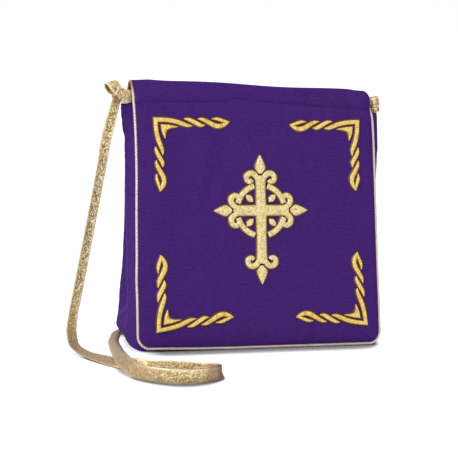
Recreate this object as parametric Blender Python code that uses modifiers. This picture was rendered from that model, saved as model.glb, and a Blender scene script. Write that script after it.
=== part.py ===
"""A burse: a small pouch of purple cloth with a flap edged in gold piping, hung from a flat gold strap.

One cloth makes the back, goes over the top as a casing for the strap and falls down the front as the flap.
A front panel and a gusset strip make the pouch behind the flap. The strap runs through the casing, is
knotted at both mouths, and its free length falls to the surface that the pouch stands on.

Metres. +Z is up, the flap faces -Y, and the origin is on the surface, under the middle of the pouch.
"""

import math

import bmesh
import bpy
from mathutils import Vector

# Cloth and trim
CLOTH = 0.0016
PANEL = 0.0014
GAP = 0.0003
PIPING = 0.0020
PIPING_GAP = 0.0004
FLAP_STANDS_OFF = 0.0014
RIM_CLEAR = 0.0011

# Heights, from the surface to the top fold. The fold waves, swells and droops at both corners
STITCH_LINE = 0.1600
TOP_FOLD = 0.1708
TOP_FALL = 0.032
TOP_WAVE = 0.0004
TOP_SWELL = 0.0008
CORNER_DROOP = 0.0034
SHOULDER_DROOP = 0.0006
LEFT_DROOP = 0.0016
DROOP_FROM = 0.0768
DROOP_TO = 0.0803
SHOULDER_AT = 0.0660
SHOULDER_REACH = 0.0080
LEFT_END = -0.0700
LEFT_REACH = 0.0120
MOUTH_FLARE = 0.0014
POUCH_MOUTH = 0.1500
GUSSET_TOP = 0.1581

# The hem is highest at the left corner
HEM_LOW = 0.0025
HEM_RISE = 0.0012
HEM_REACH = 0.45

# The height at which the flap's edges are read for the casing's width
FLAP_TOP = 0.1590

# Widths, each side of the middle
BACK_HALF = 0.0826
POUCH_HALF = 0.0820

# Above the first height the back's sides come in, to meet the flap's width at the second
NARROWS_FROM = 0.1300
NARROWS_TO = 0.1580

# Depths: the front leans back, the back leans forward
FRONT_FOOT = -0.0248
FRONT_LEAN = 0.1686
FRONT_BELLY = 0.0010
BACK_FOOT = 0.0250
BACK_AT_STITCH = 0.0138
HEM_RADIUS = 0.0070
PANEL_RADIUS = 0.0040
BACK_RADIUS = 0.0135
PINCH_REACH = 0.0100
PINCH_ENDS = 0.0140
MOUTH_SPREAD = 0.0040

# Strap
STRAP_WIDTH = 0.0086
STRAP_THICK = 0.0020
STRAP_FLAT = 0.0016
LOOP_WIDTH = 0.0090

# The left knot: its middle, the wrap's middle and size, how it leans, the way the standing loop points and
# faces, and the loop's turns: how far out, how far aside
LEFT_KNOT = (-0.0926, 0.0060, 0.1645)
LEFT_WRAP_AT = (-0.0922, 0.0062, 0.1675)
LEFT_WRAP = (0.0046, 0.0072, 0.0068)
LEFT_LEAN = (0.30, 0.0, 1.0)
LOOP_POINTS = (-0.40, 0.53, 0.74)
LOOP_FACES = (0.90, 0.39, 0.21)
LOOP_SHIFT = 0.0006
LOOP_TURNS = (
    (0.0000, -0.0008),
    (0.0022, -0.0020),
    (0.0050, -0.0026),
    (0.0080, -0.0020),
    (0.0095, 0.0002),
    (0.0080, 0.0025),
    (0.0050, 0.0031),
    (0.0022, 0.0023),
    (0.0000, 0.0008),
)

# The right knot: the middles and sizes of its wrap and of its lobe, and how both lean
RIGHT_KNOT = (0.0868, 0.0066, 0.1620)
RIGHT_WRAP = (0.0052, 0.0088, 0.0066)
RIGHT_LOBE = (0.0873, 0.0024, 0.1572)
RIGHT_LOBE_SIZE = (0.0046, 0.0054, 0.0056)
RIGHT_LEAN = (-0.20, 0.0, 1.0)

# How finely the sheets are divided
COLUMNS = 30
BACK_ROWS = 12
FLAP_ROWS = 22
CORNER_ROWS = 3
BACK_CORNER_ROWS = 4
PANEL_COLUMNS = 12
PANEL_ROWS = 8
GUSSET_SIDE_ROWS = 13
GUSSET_SHARES = (0.0, 0.18, 0.36, 0.5, 0.6, 0.7, 0.8, 0.88, 0.94, 1.0)
PIPING_SHARES = (0.1, 0.25, 0.4, 0.55, 0.7, 0.85)

# How many rows of the casing, from the front, have piping at the right mouth
RIGHT_PIPED = 4

# The casing from the front stitch over the top to the back: share of its depth, share of its height
CASING = (
    (0.00, 0.00),
    (0.12, 0.26),
    (0.25, 0.52),
    (0.38, 0.76),
    (0.52, 0.94),
    (0.64, 1.00),
    (0.78, 0.95),
    (0.90, 0.80),
    (0.98, 0.58),
    (1.00, 0.36),
    (0.97, 0.17),
)

# The seam under the casing: x, z
SEAM = (
    (-0.0820, 0.1584),
    (-0.0726, 0.1595),
    (-0.0560, 0.1599),
    (-0.0390, 0.1599),
    (-0.0225, 0.1604),
    (-0.0155, 0.1624),
    (-0.0030, 0.1612),
    (0.0130, 0.1601),
    (0.0290, 0.1594),
    (0.0445, 0.1582),
    (0.0624, 0.1572),
    (0.0830, 0.1565),
)

# The flap's side edges: z, left, right
FLAP_EDGES = (
    (0.0000, -0.0815, 0.0829),
    (0.0110, -0.0816, 0.0828),
    (0.0330, -0.0817, 0.0825),
    (0.0480, -0.0819, 0.0821),
    (0.0630, -0.0815, 0.0818),
    (0.0860, -0.0812, 0.0816),
    (0.1000, -0.0809, 0.0815),
    (0.1160, -0.0806, 0.0814),
    (0.1390, -0.0806, 0.0812),
    (0.1470, -0.0810, 0.0808),
    (0.1590, -0.0814, 0.0803),
)

# Creases in the front cloth: x, z, half length, half width, height, lean from upright in degrees
CREASES = (
    (-0.0325, 0.1045, 0.0120, 0.0060, -0.0010, 25),
    (-0.0560, 0.0830, 0.0180, 0.0090, -0.0010, 64),
    (0.0370, 0.1640, 0.0060, 0.0028, -0.0009, -37),
    (0.0510, 0.1640, 0.0055, 0.0028, -0.0008, -37),
    (0.0655, 0.1625, 0.0060, 0.0028, -0.0009, -37),
    (0.0745, 0.1620, 0.0050, 0.0045, 0.0009, 0),
    (0.0435, 0.1535, 0.0045, 0.0040, 0.0006, 0),
    (-0.0073, 0.0100, 0.0090, 0.0060, -0.0008, -8),
    (0.0375, 0.0100, 0.0060, 0.0050, -0.0006, 10),
)

# How far each side of the gusset folds outward: height, outward fold, its ridge from front 0 to back 1
GUSSET_FOLD = (
    (0.0000, 0.0036, 0.72),
    (0.0055, 0.0055, 0.80),
    (0.0115, 0.0066, 0.86),
    (0.0160, 0.0060, 0.85),
    (0.0300, 0.0056, 0.82),
    (0.0600, 0.0046, 0.74),
    (0.0950, 0.0045, 0.66),
    (0.1300, 0.0056, 0.58),
    (0.1450, 0.0066, 0.54),
    (0.1600, 0.0076, 0.50),
)

# The same on the right from the eighth row up
RIGHT_FOLD = GUSSET_FOLD[:7] + (
    (0.1130, 0.0050, 0.50),
    (0.1180, 0.0066, 0.34),
    (0.1300, 0.0067, 0.30),
    (0.1400, 0.0064, 0.30),
    (0.1500, 0.0060, 0.30),
    (0.1600, 0.0048, 0.30),
)

# The gusset's sides fold outward from the first distance to the second, and more roundly below a height
FOLD_FROM = 0.0550
FOLD_TO = 0.0810
FOLD_ROUNDS_TO = 0.0400
LOW_FULLNESS = 0.45

# The strap's run through the casing, where it is curled a little narrower: x, y, z, width
CASING_STRAP = (
    (-0.0893, 0.0078, 0.1630, 0.0086),
    (-0.0860, 0.0080, 0.1628, 0.0086),
    (-0.0820, 0.0086, 0.1625, 0.0076),
    (-0.0760, 0.0096, 0.1636, 0.0068),
    (-0.0640, 0.0101, 0.1659, 0.0050),
    (-0.0400, 0.0100, 0.1662, 0.0050),
    (-0.0155, 0.0099, 0.1674, 0.0040),
    (0.0000, 0.0098, 0.1665, 0.0044),
    (0.0300, 0.0100, 0.1653, 0.0050),
    (0.0600, 0.0096, 0.1640, 0.0046),
    (0.0720, 0.0093, 0.1626, 0.0044),
    (0.0770, 0.0089, 0.1616, 0.0042),
    (0.0825, 0.0086, 0.1611, 0.0040),
)

# The strap's free route, from the left knot to the right one. Each row is a place and the direction of the
# strap's width there
STRAP_ROUTE = (
    ((-0.0938, 0.0046, 0.1618), (0.84, 0.45, 0.30)),
    ((-0.0979, 0.0030, 0.1480), (0.88, 0.30, 0.15)),
    ((-0.1013, 0.0024, 0.1340), (0.88, 0.30, 0.15)),
    ((-0.1051, 0.0012, 0.1120), (0.84, 0.44, 0.15)),
    ((-0.1182, -0.0030, 0.0430), (0.87, 0.40, 0.15)),
    ((-0.1222, -0.0050, 0.0230), (0.91, 0.38, 0.15)),
    ((-0.1236, -0.0090, 0.0100), (0.91, 0.38, 0.10)),
    ((-0.1213, -0.0205, 0.0030), (0.90, 0.40, 0.10)),
    ((-0.1100, -0.0490, 0.0030), (0.80, 0.40, 0.38)),
    ((-0.1030, -0.0615, 0.0032), (0.66, 0.42, 0.56)),
    ((-0.0945, -0.0715, 0.0044), (0.36, 0.30, 0.84)),
    ((-0.0840, -0.0790, 0.0047), (0.10, 0.10, 1.00)),
    ((-0.0720, -0.0840, 0.0046), (0.00, 0.05, 1.00)),
    ((-0.0600, -0.0895, 0.0046), (0.00, 0.05, 1.00)),
    ((-0.0536, -0.0940, 0.0047), (-0.10, 0.00, 1.00)),
    ((-0.0504, -0.0988, 0.0048), (-0.27, 0.00, 1.00)),
    ((-0.0524, -0.1040, 0.0048), (-0.18, -0.05, 1.00)),
    ((-0.0595, -0.1090, 0.0048), (-0.03, -0.10, 1.00)),
    ((-0.0700, -0.1125, 0.0050), (0.00, -0.12, 1.00)),
    ((-0.0810, -0.1125, 0.0052), (0.00, -0.12, 1.00)),
    ((-0.0910, -0.1075, 0.0054), (-0.05, -0.15, 1.00)),
    ((-0.0988, -0.0990, 0.0055), (0.10, -0.20, 0.97)),
    ((-0.1036, -0.0875, 0.0062), (0.38, -0.27, 0.88)),
    ((-0.1050, -0.0750, 0.0072), (0.72, -0.30, 0.58)),
    ((-0.1040, -0.0620, 0.0074), (0.88, -0.28, 0.34)),
    ((-0.1012, -0.0410, 0.0064), (0.95, -0.15, 0.20)),
    ((-0.0948, -0.0040, 0.0042), (0.98, -0.16, 0.08)),
    ((-0.0902, 0.0115, 0.0044), (0.90, -0.42, 0.20)),
    ((-0.0868, 0.0230, 0.0048), (0.74, -0.50, 0.46)),
    ((-0.0802, 0.0306, 0.0040), (0.62, -0.52, 0.58)),
    ((-0.0670, 0.0345, 0.0048), (0.22, -0.20, 0.95)),
    ((0.0300, 0.0370, 0.0049), (0.00, 0.10, 1.00)),
    ((0.0550, 0.0345, 0.0060), (-0.10, 0.10, 1.00)),
    ((0.0690, 0.0315, 0.0120), (-0.60, 0.10, 0.75)),
    ((0.0752, 0.0290, 0.0260), (-0.97, 0.05, 0.20)),
    ((0.0775, 0.0266, 0.0530), (-1.00, 0.00, 0.05)),
    ((0.0805, 0.0208, 0.1370), (-1.00, 0.00, 0.00)),
    ((0.0832, 0.0192, 0.1540), (-1.00, 0.00, 0.00)),
    ((0.0850, 0.0152, 0.1610), (-1.00, 0.00, 0.00)),
    ((0.0850, 0.0116, 0.1618), (-1.00, 0.00, 0.00)),
)


def blend(a, b, share):
    return a + (b - a) * share


def smooth(share):
    share = min(max(share, 0.0), 1.0)
    return share * share * (3 - 2 * share)


def from_table(table, at, column):
    """Read a column of a table at a place between its rows."""
    for low, high in zip(table, table[1:]):
        if at <= high[0]:
            return blend(low[column], high[column], smooth((at - low[0]) / (high[0] - low[0])))
    return table[-1][column]


def clear_scene():
    for obj in list(bpy.data.objects):
        bpy.data.objects.remove(obj, do_unlink=True)


def make_material(name, colour, roughness, metallic=0.0):
    material = bpy.data.materials.new(name)
    material.use_nodes = True
    shader = material.node_tree.nodes["Principled BSDF"]
    shader.inputs["Base Color"].default_value = (*colour, 1.0)
    shader.inputs["Roughness"].default_value = roughness
    shader.inputs["Metallic"].default_value = metallic
    return material


def add_object(name, mesh, material):
    bm = bmesh.new()
    bm.from_mesh(mesh)
    bmesh.ops.recalc_face_normals(bm, faces=bm.faces)
    bm.to_mesh(mesh)
    bm.free()
    obj = bpy.data.objects.new(name, mesh)
    obj.data.materials.append(material)
    collection.objects.link(obj)
    mesh.shade_smooth()
    mesh.set_sharp_from_angle(angle=math.radians(50))
    return obj


def add_sheet(name, rows, thickness, material):
    """An open grid of points, thickened evenly to both sides."""
    bm = bmesh.new()
    grid = [[bm.verts.new(point) for point in row] for row in rows]
    for low, high in zip(grid, grid[1:]):
        for a, b, c, d in zip(low, low[1:], high[1:], high):
            bm.faces.new((a, b, c, d))
    mesh = bpy.data.meshes.new(name)
    bm.to_mesh(mesh)
    bm.free()
    obj = add_object(name, mesh, material)
    thicken = obj.modifiers.new("thickness", "SOLIDIFY")
    thicken.thickness = thickness
    thicken.offset = 0.0
    thicken.use_even_offset = True
    return obj


def front_at(z):
    """Depth of the flap's middle layer at a height."""
    belly = FRONT_BELLY * math.sin(math.pi * min(max(z / STITCH_LINE, 0.0), 1.0))
    return FRONT_FOOT + FRONT_LEAN * z - belly


def back_at(z):
    """Depth of the back's middle layer at a height, beside the stitched part."""
    return blend(BACK_FOOT, BACK_AT_STITCH, z / STITCH_LINE)


def stitched(x):
    """1 where the stitch line draws front and back together, 0 at the casing's two mouths."""
    return smooth((BACK_HALF - MOUTH_SPREAD - abs(x)) / PINCH_ENDS)


def crease_at(x, z):
    total = 0.0
    for cx, cz, half_length, half_width, height, lean in CREASES:
        turn = math.radians(lean)
        along = (x - cx) * math.sin(turn) + (z - cz) * math.cos(turn)
        across = (x - cx) * math.cos(turn) - (z - cz) * math.sin(turn)
        total += height * math.exp(-((along / half_length) ** 2) - (across / half_width) ** 2)
    return total


def corner_share(z, hem, radius):
    """How far a rounded bottom corner draws the side in at a height above its hem."""
    drop = max(hem + radius - z, 0.0)
    return radius - math.sqrt(max(radius**2 - drop**2, 0.0))


def flap_left(z):
    return from_table(FLAP_EDGES, z, 1)


def flap_right(z):
    return from_table(FLAP_EDGES, z, 2)


def hem_at(share):
    """The hem's height at a share of the flap's width."""
    return HEM_LOW + HEM_RISE * max(1 - share / HEM_REACH, 0.0) ** 2


def seam_height(x):
    return from_table(SEAM, x, 1)


def top_height(x):
    droop = CORNER_DROOP * max((x - DROOP_FROM) / (DROOP_TO - DROOP_FROM), 0.0) ** 2
    droop += SHOULDER_DROOP * smooth((x - SHOULDER_AT) / SHOULDER_REACH)
    droop += LEFT_DROOP * smooth((LEFT_END - x) / LEFT_REACH)
    swell = TOP_SWELL * math.sin(63 * (x + 0.053)) * smooth((x + 0.085) / 0.03)
    return TOP_FOLD - TOP_FALL * x + TOP_WAVE * math.sin(55 * x) + swell - droop


def casing_point(x, depth_share, height_share):
    """A point of the casing's middle layer. Its left mouth opens outward at the back."""
    foot = seam_height(x)
    front = front_at(foot)
    depth = BACK_AT_STITCH - front
    z = blend(foot, top_height(x), height_share)
    y = front + depth * depth_share
    if depth_share < 0.5:
        y -= crease_at(x, z)
    flare = MOUTH_FLARE * smooth(depth_share) * smooth((LEFT_END - x) / LEFT_REACH)
    return Vector((x - flare, y, z))


def back_point(x, z):
    """A point of the back's middle layer: drawn forward at the stitch line between the two mouths."""
    foot = seam_height(x)
    drawn = back_at(z) - front_at(foot) - CLOTH - 2 * GAP
    near = math.exp(-(((foot - z) / PINCH_REACH) ** 2))
    return Vector((x, back_at(z) - stitched(x) * near * drawn, z))


def upper_x(share):
    """Where a column of the cloth stands at the stitch line, for a share of the width from 0 to 1."""
    return blend(flap_left(FLAP_TOP), flap_right(FLAP_TOP), share)


def flap_point(share, down):
    """A point of the flap, for a share of its width and a share of its fall from stitch line to hem."""
    start = seam_height(upper_x(share))
    hem = hem_at(share)
    z = blend(start, hem, down)
    drawn_in = corner_share(z, hem, HEM_RADIUS)
    x = blend(flap_left(z) + drawn_in, flap_right(z) - drawn_in, share)
    return Vector((x, front_at(z) - crease_at(x, z), z))


def row_shares(count, radius_share, corner_rows):
    """Shares of a fall from 0 to 1, even at first and closer where the bottom corner is round."""
    straight = [(1 - radius_share) * row / count for row in range(count)]
    turns = [math.radians(90) * row / corner_rows for row in range(corner_rows + 1)]
    return straight + [1 - radius_share * (1 - math.sin(turn)) for turn in turns]


def cloth_rows():
    """Rows of the one cloth, from the back's bottom edge over the top to the flap's hem."""
    columns = [column / COLUMNS for column in range(COLUMNS + 1)]
    rows = []
    foot = CLOTH / 2 + GAP
    for down in reversed(row_shares(BACK_ROWS, BACK_RADIUS / STITCH_LINE, BACK_CORNER_ROWS)):
        row = []
        for share in columns:
            start = seam_height(upper_x(share))
            z = blend(start, foot, down)
            drawn_in = corner_share(z, foot, BACK_RADIUS)
            narrowing = smooth((z - NARROWS_FROM) / (NARROWS_TO - NARROWS_FROM))
            left = blend(-BACK_HALF, upper_x(0) - MOUTH_FLARE, narrowing) + drawn_in
            right = blend(BACK_HALF, upper_x(1), narrowing) - drawn_in
            row.append(back_point(blend(left, right, share), z))
        rows.append(row)
    turning = []
    for x in map(upper_x, columns):
        turning.append(back_point(x, seam_height(x)).lerp(casing_point(x, *CASING[-1]), 0.5))
    rows.append(turning)
    for depth_share, height_share in reversed(CASING):
        rows.append([casing_point(upper_x(share), depth_share, height_share) for share in columns])
    for down in row_shares(FLAP_ROWS, HEM_RADIUS / STITCH_LINE, CORNER_ROWS)[1:]:
        rows.append([flap_point(share, down) for share in columns])
    return rows


def add_cloth(material):
    """Back, casing and flap, which are one piece of cloth."""
    return add_sheet("back_casing_flap", cloth_rows(), CLOTH, material)


def panel_depth(z):
    return front_at(z) + CLOTH / 2 + FLAP_STANDS_OFF + PANEL / 2


def add_pouch_front(material):
    """The pouch's own front, just behind the flap, with its open mouth at the top."""
    foot = PANEL / 2 + GAP
    shares = [column / PANEL_COLUMNS for column in range(PANEL_COLUMNS + 1)]
    rows = []
    for down in row_shares(PANEL_ROWS, PANEL_RADIUS / POUCH_MOUTH, CORNER_ROWS):
        z = blend(POUCH_MOUTH, foot, down)
        half = POUCH_HALF - corner_share(z, foot, PANEL_RADIUS)
        rows.append([Vector((blend(-half, half, share), panel_depth(z), z)) for share in shares])
    return add_sheet("pouch_front", rows, PANEL, material)


def gusset_outline(depth_share):
    """The strip's middle layer at a share of its depth: down the left, along the bottom, up the right."""
    radius = blend(PANEL_RADIUS, BACK_RADIUS, smooth((depth_share - 0.2) / 0.6))
    foot = PANEL / 2
    half = POUCH_HALF - PANEL / 2
    reach = half - radius
    outline = []
    for row in range(GUSSET_SIDE_ROWS):
        outline.append(Vector((-half, 0, blend(GUSSET_TOP, radius + foot, row / GUSSET_SIDE_ROWS))))
    for turn in range(0, 91, 15):
        angle = math.radians(turn)
        rise = radius * (1 - math.sin(angle))
        outline.append(Vector((-reach - radius * math.cos(angle), 0, foot + rise)))
    outline += [Vector((-reach * share, 0, foot)) for share in (2 / 3, 1 / 3)]
    middle = [Vector((0, 0, foot))]
    mirrored = [Vector((-point.x, 0, point.z)) for point in reversed(outline)]
    return outline + middle + mirrored


def gusset_fold(x, z, depth_share):
    """How far the side is folded outward."""
    table = GUSSET_FOLD if x < 0 else RIGHT_FOLD
    out = from_table(table, z, 1)
    ridge = from_table(table, z, 2)
    rise = depth_share / ridge if depth_share < ridge else (1 - depth_share) / (1 - ridge)
    fullness = blend(LOW_FULLNESS, 1.0, smooth(z / FOLD_ROUNDS_TO))
    return out * max(rise, 0.0) ** fullness


def add_gusset(material):
    """One strip down the left side, along the bottom and up the right side."""
    rows = []
    for depth_share in GUSSET_SHARES:
        row = []
        for point in gusset_outline(depth_share):
            near = panel_depth(point.z) + PANEL / 2 + RIM_CLEAR
            far = back_at(point.z) - CLOTH / 2 - RIM_CLEAR
            side = smooth((abs(point.x) - FOLD_FROM) / (FOLD_TO - FOLD_FROM))
            out = math.copysign(gusset_fold(point.x, point.z, depth_share) * side, point.x)
            row.append(Vector((point.x + out, blend(near, far, depth_share), point.z)))
        rows.append(row)
    return add_sheet("gusset_strip", rows, PANEL, material)


def add_tube(name, points, radius, material, resolution):
    curve = bpy.data.curves.new(name, "CURVE")
    curve.dimensions = "3D"
    curve.bevel_depth = radius
    curve.bevel_resolution = resolution
    curve.use_fill_caps = True
    spline = curve.splines.new("POLY")
    spline.points.add(len(points) - 1)
    for spot, point in zip(spline.points, points):
        spot.co = (*point, 1.0)
    curve.materials.append(material)
    obj = bpy.data.objects.new(name, curve)
    collection.objects.link(obj)
    return obj


def piping_route():
    """Along the cloth's edge: round the left mouth, down, along the hem, up to the right mouth's front."""
    clear = PIPING / 2 + PIPING_GAP
    sides = []
    for share in (0, 1):
        sign = 2 * share - 1
        hem = hem_at(share)
        edge = (flap_left(hem), flap_right(hem))[share]
        outward = Vector((sign * clear, 0, 0))
        mouth = CASING[:RIGHT_PIPED] if share else CASING
        side = [casing_point(upper_x(share), *place) + outward for place in reversed(mouth)]
        side += [flap_point(share, down) + outward for down in PIPING_SHARES]
        for turn in range(0, 91, 15):
            angle = math.radians(turn)
            x = edge + sign * ((HEM_RADIUS + clear) * math.cos(angle) - HEM_RADIUS)
            z = hem + HEM_RADIUS - (HEM_RADIUS + clear) * math.sin(angle)
            side.append(Vector((x, front_at(z), z)))
        sides.append(side)
    left, right = sides
    below = Vector((0, FRONT_LEAN * clear, clear))
    hem_points = [flap_point(share, 1.0) - below for share in (0.2, 0.4, 0.6, 0.8)]
    return left + hem_points + list(reversed(right))


def add_piping(material):
    return add_tube("flap_piping", piping_route(), PIPING / 2, material, 2)


def catmull(points, steps):
    """A smooth curve through the points."""
    curve = []
    padded = [points[0] * 2 - points[1]] + points + [points[-1] * 2 - points[-2]]
    for a, b, c, d in zip(padded, padded[1:], padded[2:], padded[3:]):
        for step in range(steps):
            t = step / steps
            slope = c - a
            bend = 2 * a - 5 * b + 4 * c - d
            twist = 3 * b - a - 3 * c + d
            curve.append(0.5 * (2 * b + slope * t + bend * t**2 + twist * t**3))
    return curve + [points[-1]]


def band_ring(centre, along, across, width, thick):
    """Eight corners of a flat strap's round-edged section."""
    along = along.normalized()
    across = (across - along * across.dot(along)).normalized()
    through = along.cross(across)
    upper = ((1, 0.45), (0.86, 1), (-0.86, 1), (-1, 0.45))
    corners = upper + tuple((-a, -b) for a, b in upper)
    return [centre + across * a * width / 2 + through * b * thick / 2 for a, b in corners]


def band_mesh(name, centres, acrosses, widths, thick):
    """A flat strap along its centre line."""
    bm = bmesh.new()
    rings = []
    for index, centre in enumerate(centres):
        before = centres[max(index - 1, 0)]
        after = centres[min(index + 1, len(centres) - 1)]
        ring = band_ring(centre, after - before, acrosses[index], widths[index], thick)
        rings.append([bm.verts.new(corner) for corner in ring])
    for low, high in zip(rings, rings[1:]):
        for corner in range(8):
            follow = (corner + 1) % 8
            bm.faces.new((low[corner], low[follow], high[follow], high[corner]))
    bm.faces.new(list(reversed(rings[0])))
    bm.faces.new(rings[-1])
    mesh = bpy.data.meshes.new(name)
    bm.to_mesh(mesh)
    bm.free()
    return mesh


def add_strap_fall(material):
    """The strap's free length: left knot, surface, round its loop, behind the pouch, up to the right knot."""
    centres = catmull([Vector(place) for place, across in STRAP_ROUTE], 2)
    acrosses = catmull([Vector(across) for place, across in STRAP_ROUTE], 2)
    widths = [STRAP_WIDTH] * len(centres)
    mesh = band_mesh("strap_fall", centres, acrosses, widths, STRAP_THICK)
    return add_object("strap_fall", mesh, material)


def add_strap_in_casing(material):
    """The straight run through the casing, with a stub out of each mouth."""
    places = [Vector((x, y, z)) for x, y, z, width in CASING_STRAP]
    acrosses = [Vector((0, 0.08, 1.0))] * len(places)
    widths = [width for x, y, z, width in CASING_STRAP]
    mesh = band_mesh("strap_in_casing", places, acrosses, widths, STRAP_FLAT)
    return add_object("strap_in_casing", mesh, material)


def lump(name, place, size, lean):
    """A soft-edged block, leaning from upright."""
    turn = Vector((0, 0, 1)).rotation_difference(Vector(lean))
    bm = bmesh.new()
    bmesh.ops.create_cube(bm, size=1.0)
    bmesh.ops.bevel(bm, geom=bm.edges[:], offset=0.26, segments=2, profile=0.5, affect="EDGES")
    for vert in bm.verts:
        vert.co.x *= size[0]
        vert.co.y *= size[1]
        vert.co.z *= size[2]
    bmesh.ops.rotate(bm, verts=bm.verts, matrix=turn.to_matrix())
    bmesh.ops.translate(bm, verts=bm.verts, vec=place)
    mesh = bpy.data.meshes.new(name)
    bm.to_mesh(mesh)
    bm.free()
    return mesh


def join_solids(obj, others):
    """Unite the other solids into this one, as tucked layers of one strap."""
    for other in others:
        other.hide_render = True
        other.display_type = "WIRE"
        joined = obj.modifiers.new("join", "BOOLEAN")
        joined.operation = "UNION"
        joined.solver = "EXACT"
        joined.object = other
    return obj


def add_helper(name, mesh):
    bm = bmesh.new()
    bm.from_mesh(mesh)
    bmesh.ops.recalc_face_normals(bm, faces=bm.faces)
    bm.to_mesh(mesh)
    bm.free()
    obj = bpy.data.objects.new(name, mesh)
    helpers.objects.link(obj)
    return obj


def add_left_knot(material):
    """The wrap round the left stub, with the short loop that stands out of it."""
    points, faces = Vector(LOOP_POINTS).normalized(), Vector(LOOP_FACES).normalized()
    sideways = points.cross(faces).normalized()
    foot = Vector(LEFT_KNOT) - faces * LOOP_SHIFT
    centres = catmull([foot + points * reach + sideways * depth for reach, depth in LOOP_TURNS], 2)
    acrosses = [faces] * len(centres)
    widths = [LOOP_WIDTH] * len(centres)
    loop = add_helper("left_loop", band_mesh("left_loop", centres, acrosses, widths, STRAP_FLAT))
    wrap = lump("strap_knot_left", LEFT_WRAP_AT, LEFT_WRAP, LEFT_LEAN)
    return join_solids(add_object("strap_knot_left", wrap, material), [loop])


def add_right_knot(material):
    """The wrap at the right mouth, with the short lobe that hangs in front of the gusset."""
    wrap = lump("strap_knot_right", RIGHT_KNOT, RIGHT_WRAP, RIGHT_LEAN)
    lobe = add_helper("right_lobe", lump("right_lobe", RIGHT_LOBE, RIGHT_LOBE_SIZE, RIGHT_LEAN))
    return join_solids(add_object("strap_knot_right", wrap, material), [lobe])


def build():
    cloth = make_material("purple_cloth", (0.058, 0.019, 0.162), 0.85)
    gold_piping = make_material("gold_piping", (0.60, 0.46, 0.38), 0.45, 0.4)
    gold_strap = make_material("gold_strap", (0.55, 0.42, 0.25), 0.5, 0.5)
    add_cloth(cloth)
    add_pouch_front(cloth)
    add_gusset(cloth)
    add_piping(gold_piping)
    add_strap_in_casing(gold_strap)
    add_left_knot(gold_strap)
    add_right_knot(gold_strap)
    add_strap_fall(gold_strap)


clear_scene()
collection = bpy.data.collections.new("burse")
helpers = bpy.data.collections.new("helpers")
bpy.context.scene.collection.children.link(collection)
bpy.context.scene.collection.children.link(helpers)
build()
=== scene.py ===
"""The looks of the burse: purple twill, twisted gold piping, a flat gold strap and raised gold embroidery.

Metres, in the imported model's own frame: +Z up, the flap faces -Y, the pouch stands on Z = 0.
"""

import math

import bmesh
import bpy
from mathutils import Matrix, Vector, noise


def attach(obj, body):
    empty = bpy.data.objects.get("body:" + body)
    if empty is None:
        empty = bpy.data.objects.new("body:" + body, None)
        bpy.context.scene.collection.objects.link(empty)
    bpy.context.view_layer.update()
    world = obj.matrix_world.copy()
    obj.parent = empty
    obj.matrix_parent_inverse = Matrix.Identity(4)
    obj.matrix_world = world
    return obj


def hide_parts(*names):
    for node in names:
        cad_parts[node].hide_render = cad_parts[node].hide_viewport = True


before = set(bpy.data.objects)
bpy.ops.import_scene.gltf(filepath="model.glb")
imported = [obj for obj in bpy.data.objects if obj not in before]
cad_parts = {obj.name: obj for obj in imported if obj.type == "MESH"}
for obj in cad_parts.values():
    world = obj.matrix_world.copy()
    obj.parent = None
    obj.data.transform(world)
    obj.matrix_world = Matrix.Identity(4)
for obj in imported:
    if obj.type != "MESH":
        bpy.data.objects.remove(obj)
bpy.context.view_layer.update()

# The photograph's frame and the camera that fits it
PHOTO_SIDE = 458
FOCAL_IN_PIXELS = 1515.4
SENSOR = 36.0
CAMERA_TURN = 17.5
CAMERA_RISE = 7.5
CAMERA_ROLL = 1.715
CAMERA_DISTANCE = 1.004
CAMERA_TARGET = (-0.0170, 0.0, 0.07645)

# The one light, and the white all round
LIGHT_PLACE = (-1.10, -0.42, 0.80)
LIGHT_TARGET = (0.0, 0.0, 0.08)
LIGHT_SIDE = 0.5
LIGHT_WATTS = 11.0
WHITE = (1.0, 1.0, 1.0)
FLOOR_SIZE = 30.0

# Painted shade on the floor: how far the two kinds reach, and where it is weaker beside the open left side
FALLING_REACH = 0.024
TOUCHING_REACH = 0.0045
OPEN_SIDE_X = (-0.068, -0.082)
OPEN_SIDE_Y = (-0.036, -0.026)

# Cloth and trim. PIPING_GAP, RIM_CLEAR, LEFT_DROOP, LOW_FULLNESS and the right mouth's flare are the scene's
# own, and the rest are as in the model
CLOTH = 0.0016
PANEL = 0.0014
GAP = 0.0003
PIPING = 0.0020
PIPING_GAP = 0.0002
FLAP_STANDS_OFF = 0.0014
RIM_CLEAR = 0.0008
STITCH_LINE = 0.1600
TOP_FOLD = 0.1708
TOP_FALL = 0.032
TOP_WAVE = 0.0004
WAVE_RATE = 55
TOP_SWELL = 0.0008
SWELL_RATE = 63
SWELL_START = -0.053
SWELL_FROM = -0.085
SWELL_REACH = 0.030
CORNER_DROOP = 0.0034
SHOULDER_DROOP = 0.0006
LEFT_DROOP = 0.0012
DROOP_FROM = 0.0768
DROOP_TO = 0.0803
SHOULDER_AT = 0.0660
SHOULDER_REACH = 0.0080
LEFT_END = -0.0700
LEFT_REACH = 0.0120
RIGHT_END = 0.0700
RIGHT_REACH = 0.0103
POUCH_MOUTH = 0.1500
GUSSET_TOP = 0.1581
HEM_LOW = 0.0025
HEM_RISE = 0.0012
HEM_REACH = 0.45
FLAP_TOP = 0.1590
MOUTH_FLARE = 0.0014
RIGHT_FLARE = 0.0019
FRONT_ENDS = 0.62
FRONT_FADES = 0.20
BACK_HALF = 0.0826
POUCH_HALF = 0.0820
NARROWS_FROM = 0.1300
NARROWS_TO = 0.1580
FRONT_FOOT = -0.0248
FRONT_LEAN = 0.1686
FRONT_BELLY = 0.0010
BACK_FOOT = 0.0250
BACK_AT_STITCH = 0.0138
HEM_RADIUS = 0.0070
PANEL_RADIUS = 0.0040
BACK_RADIUS = 0.0135
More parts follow.
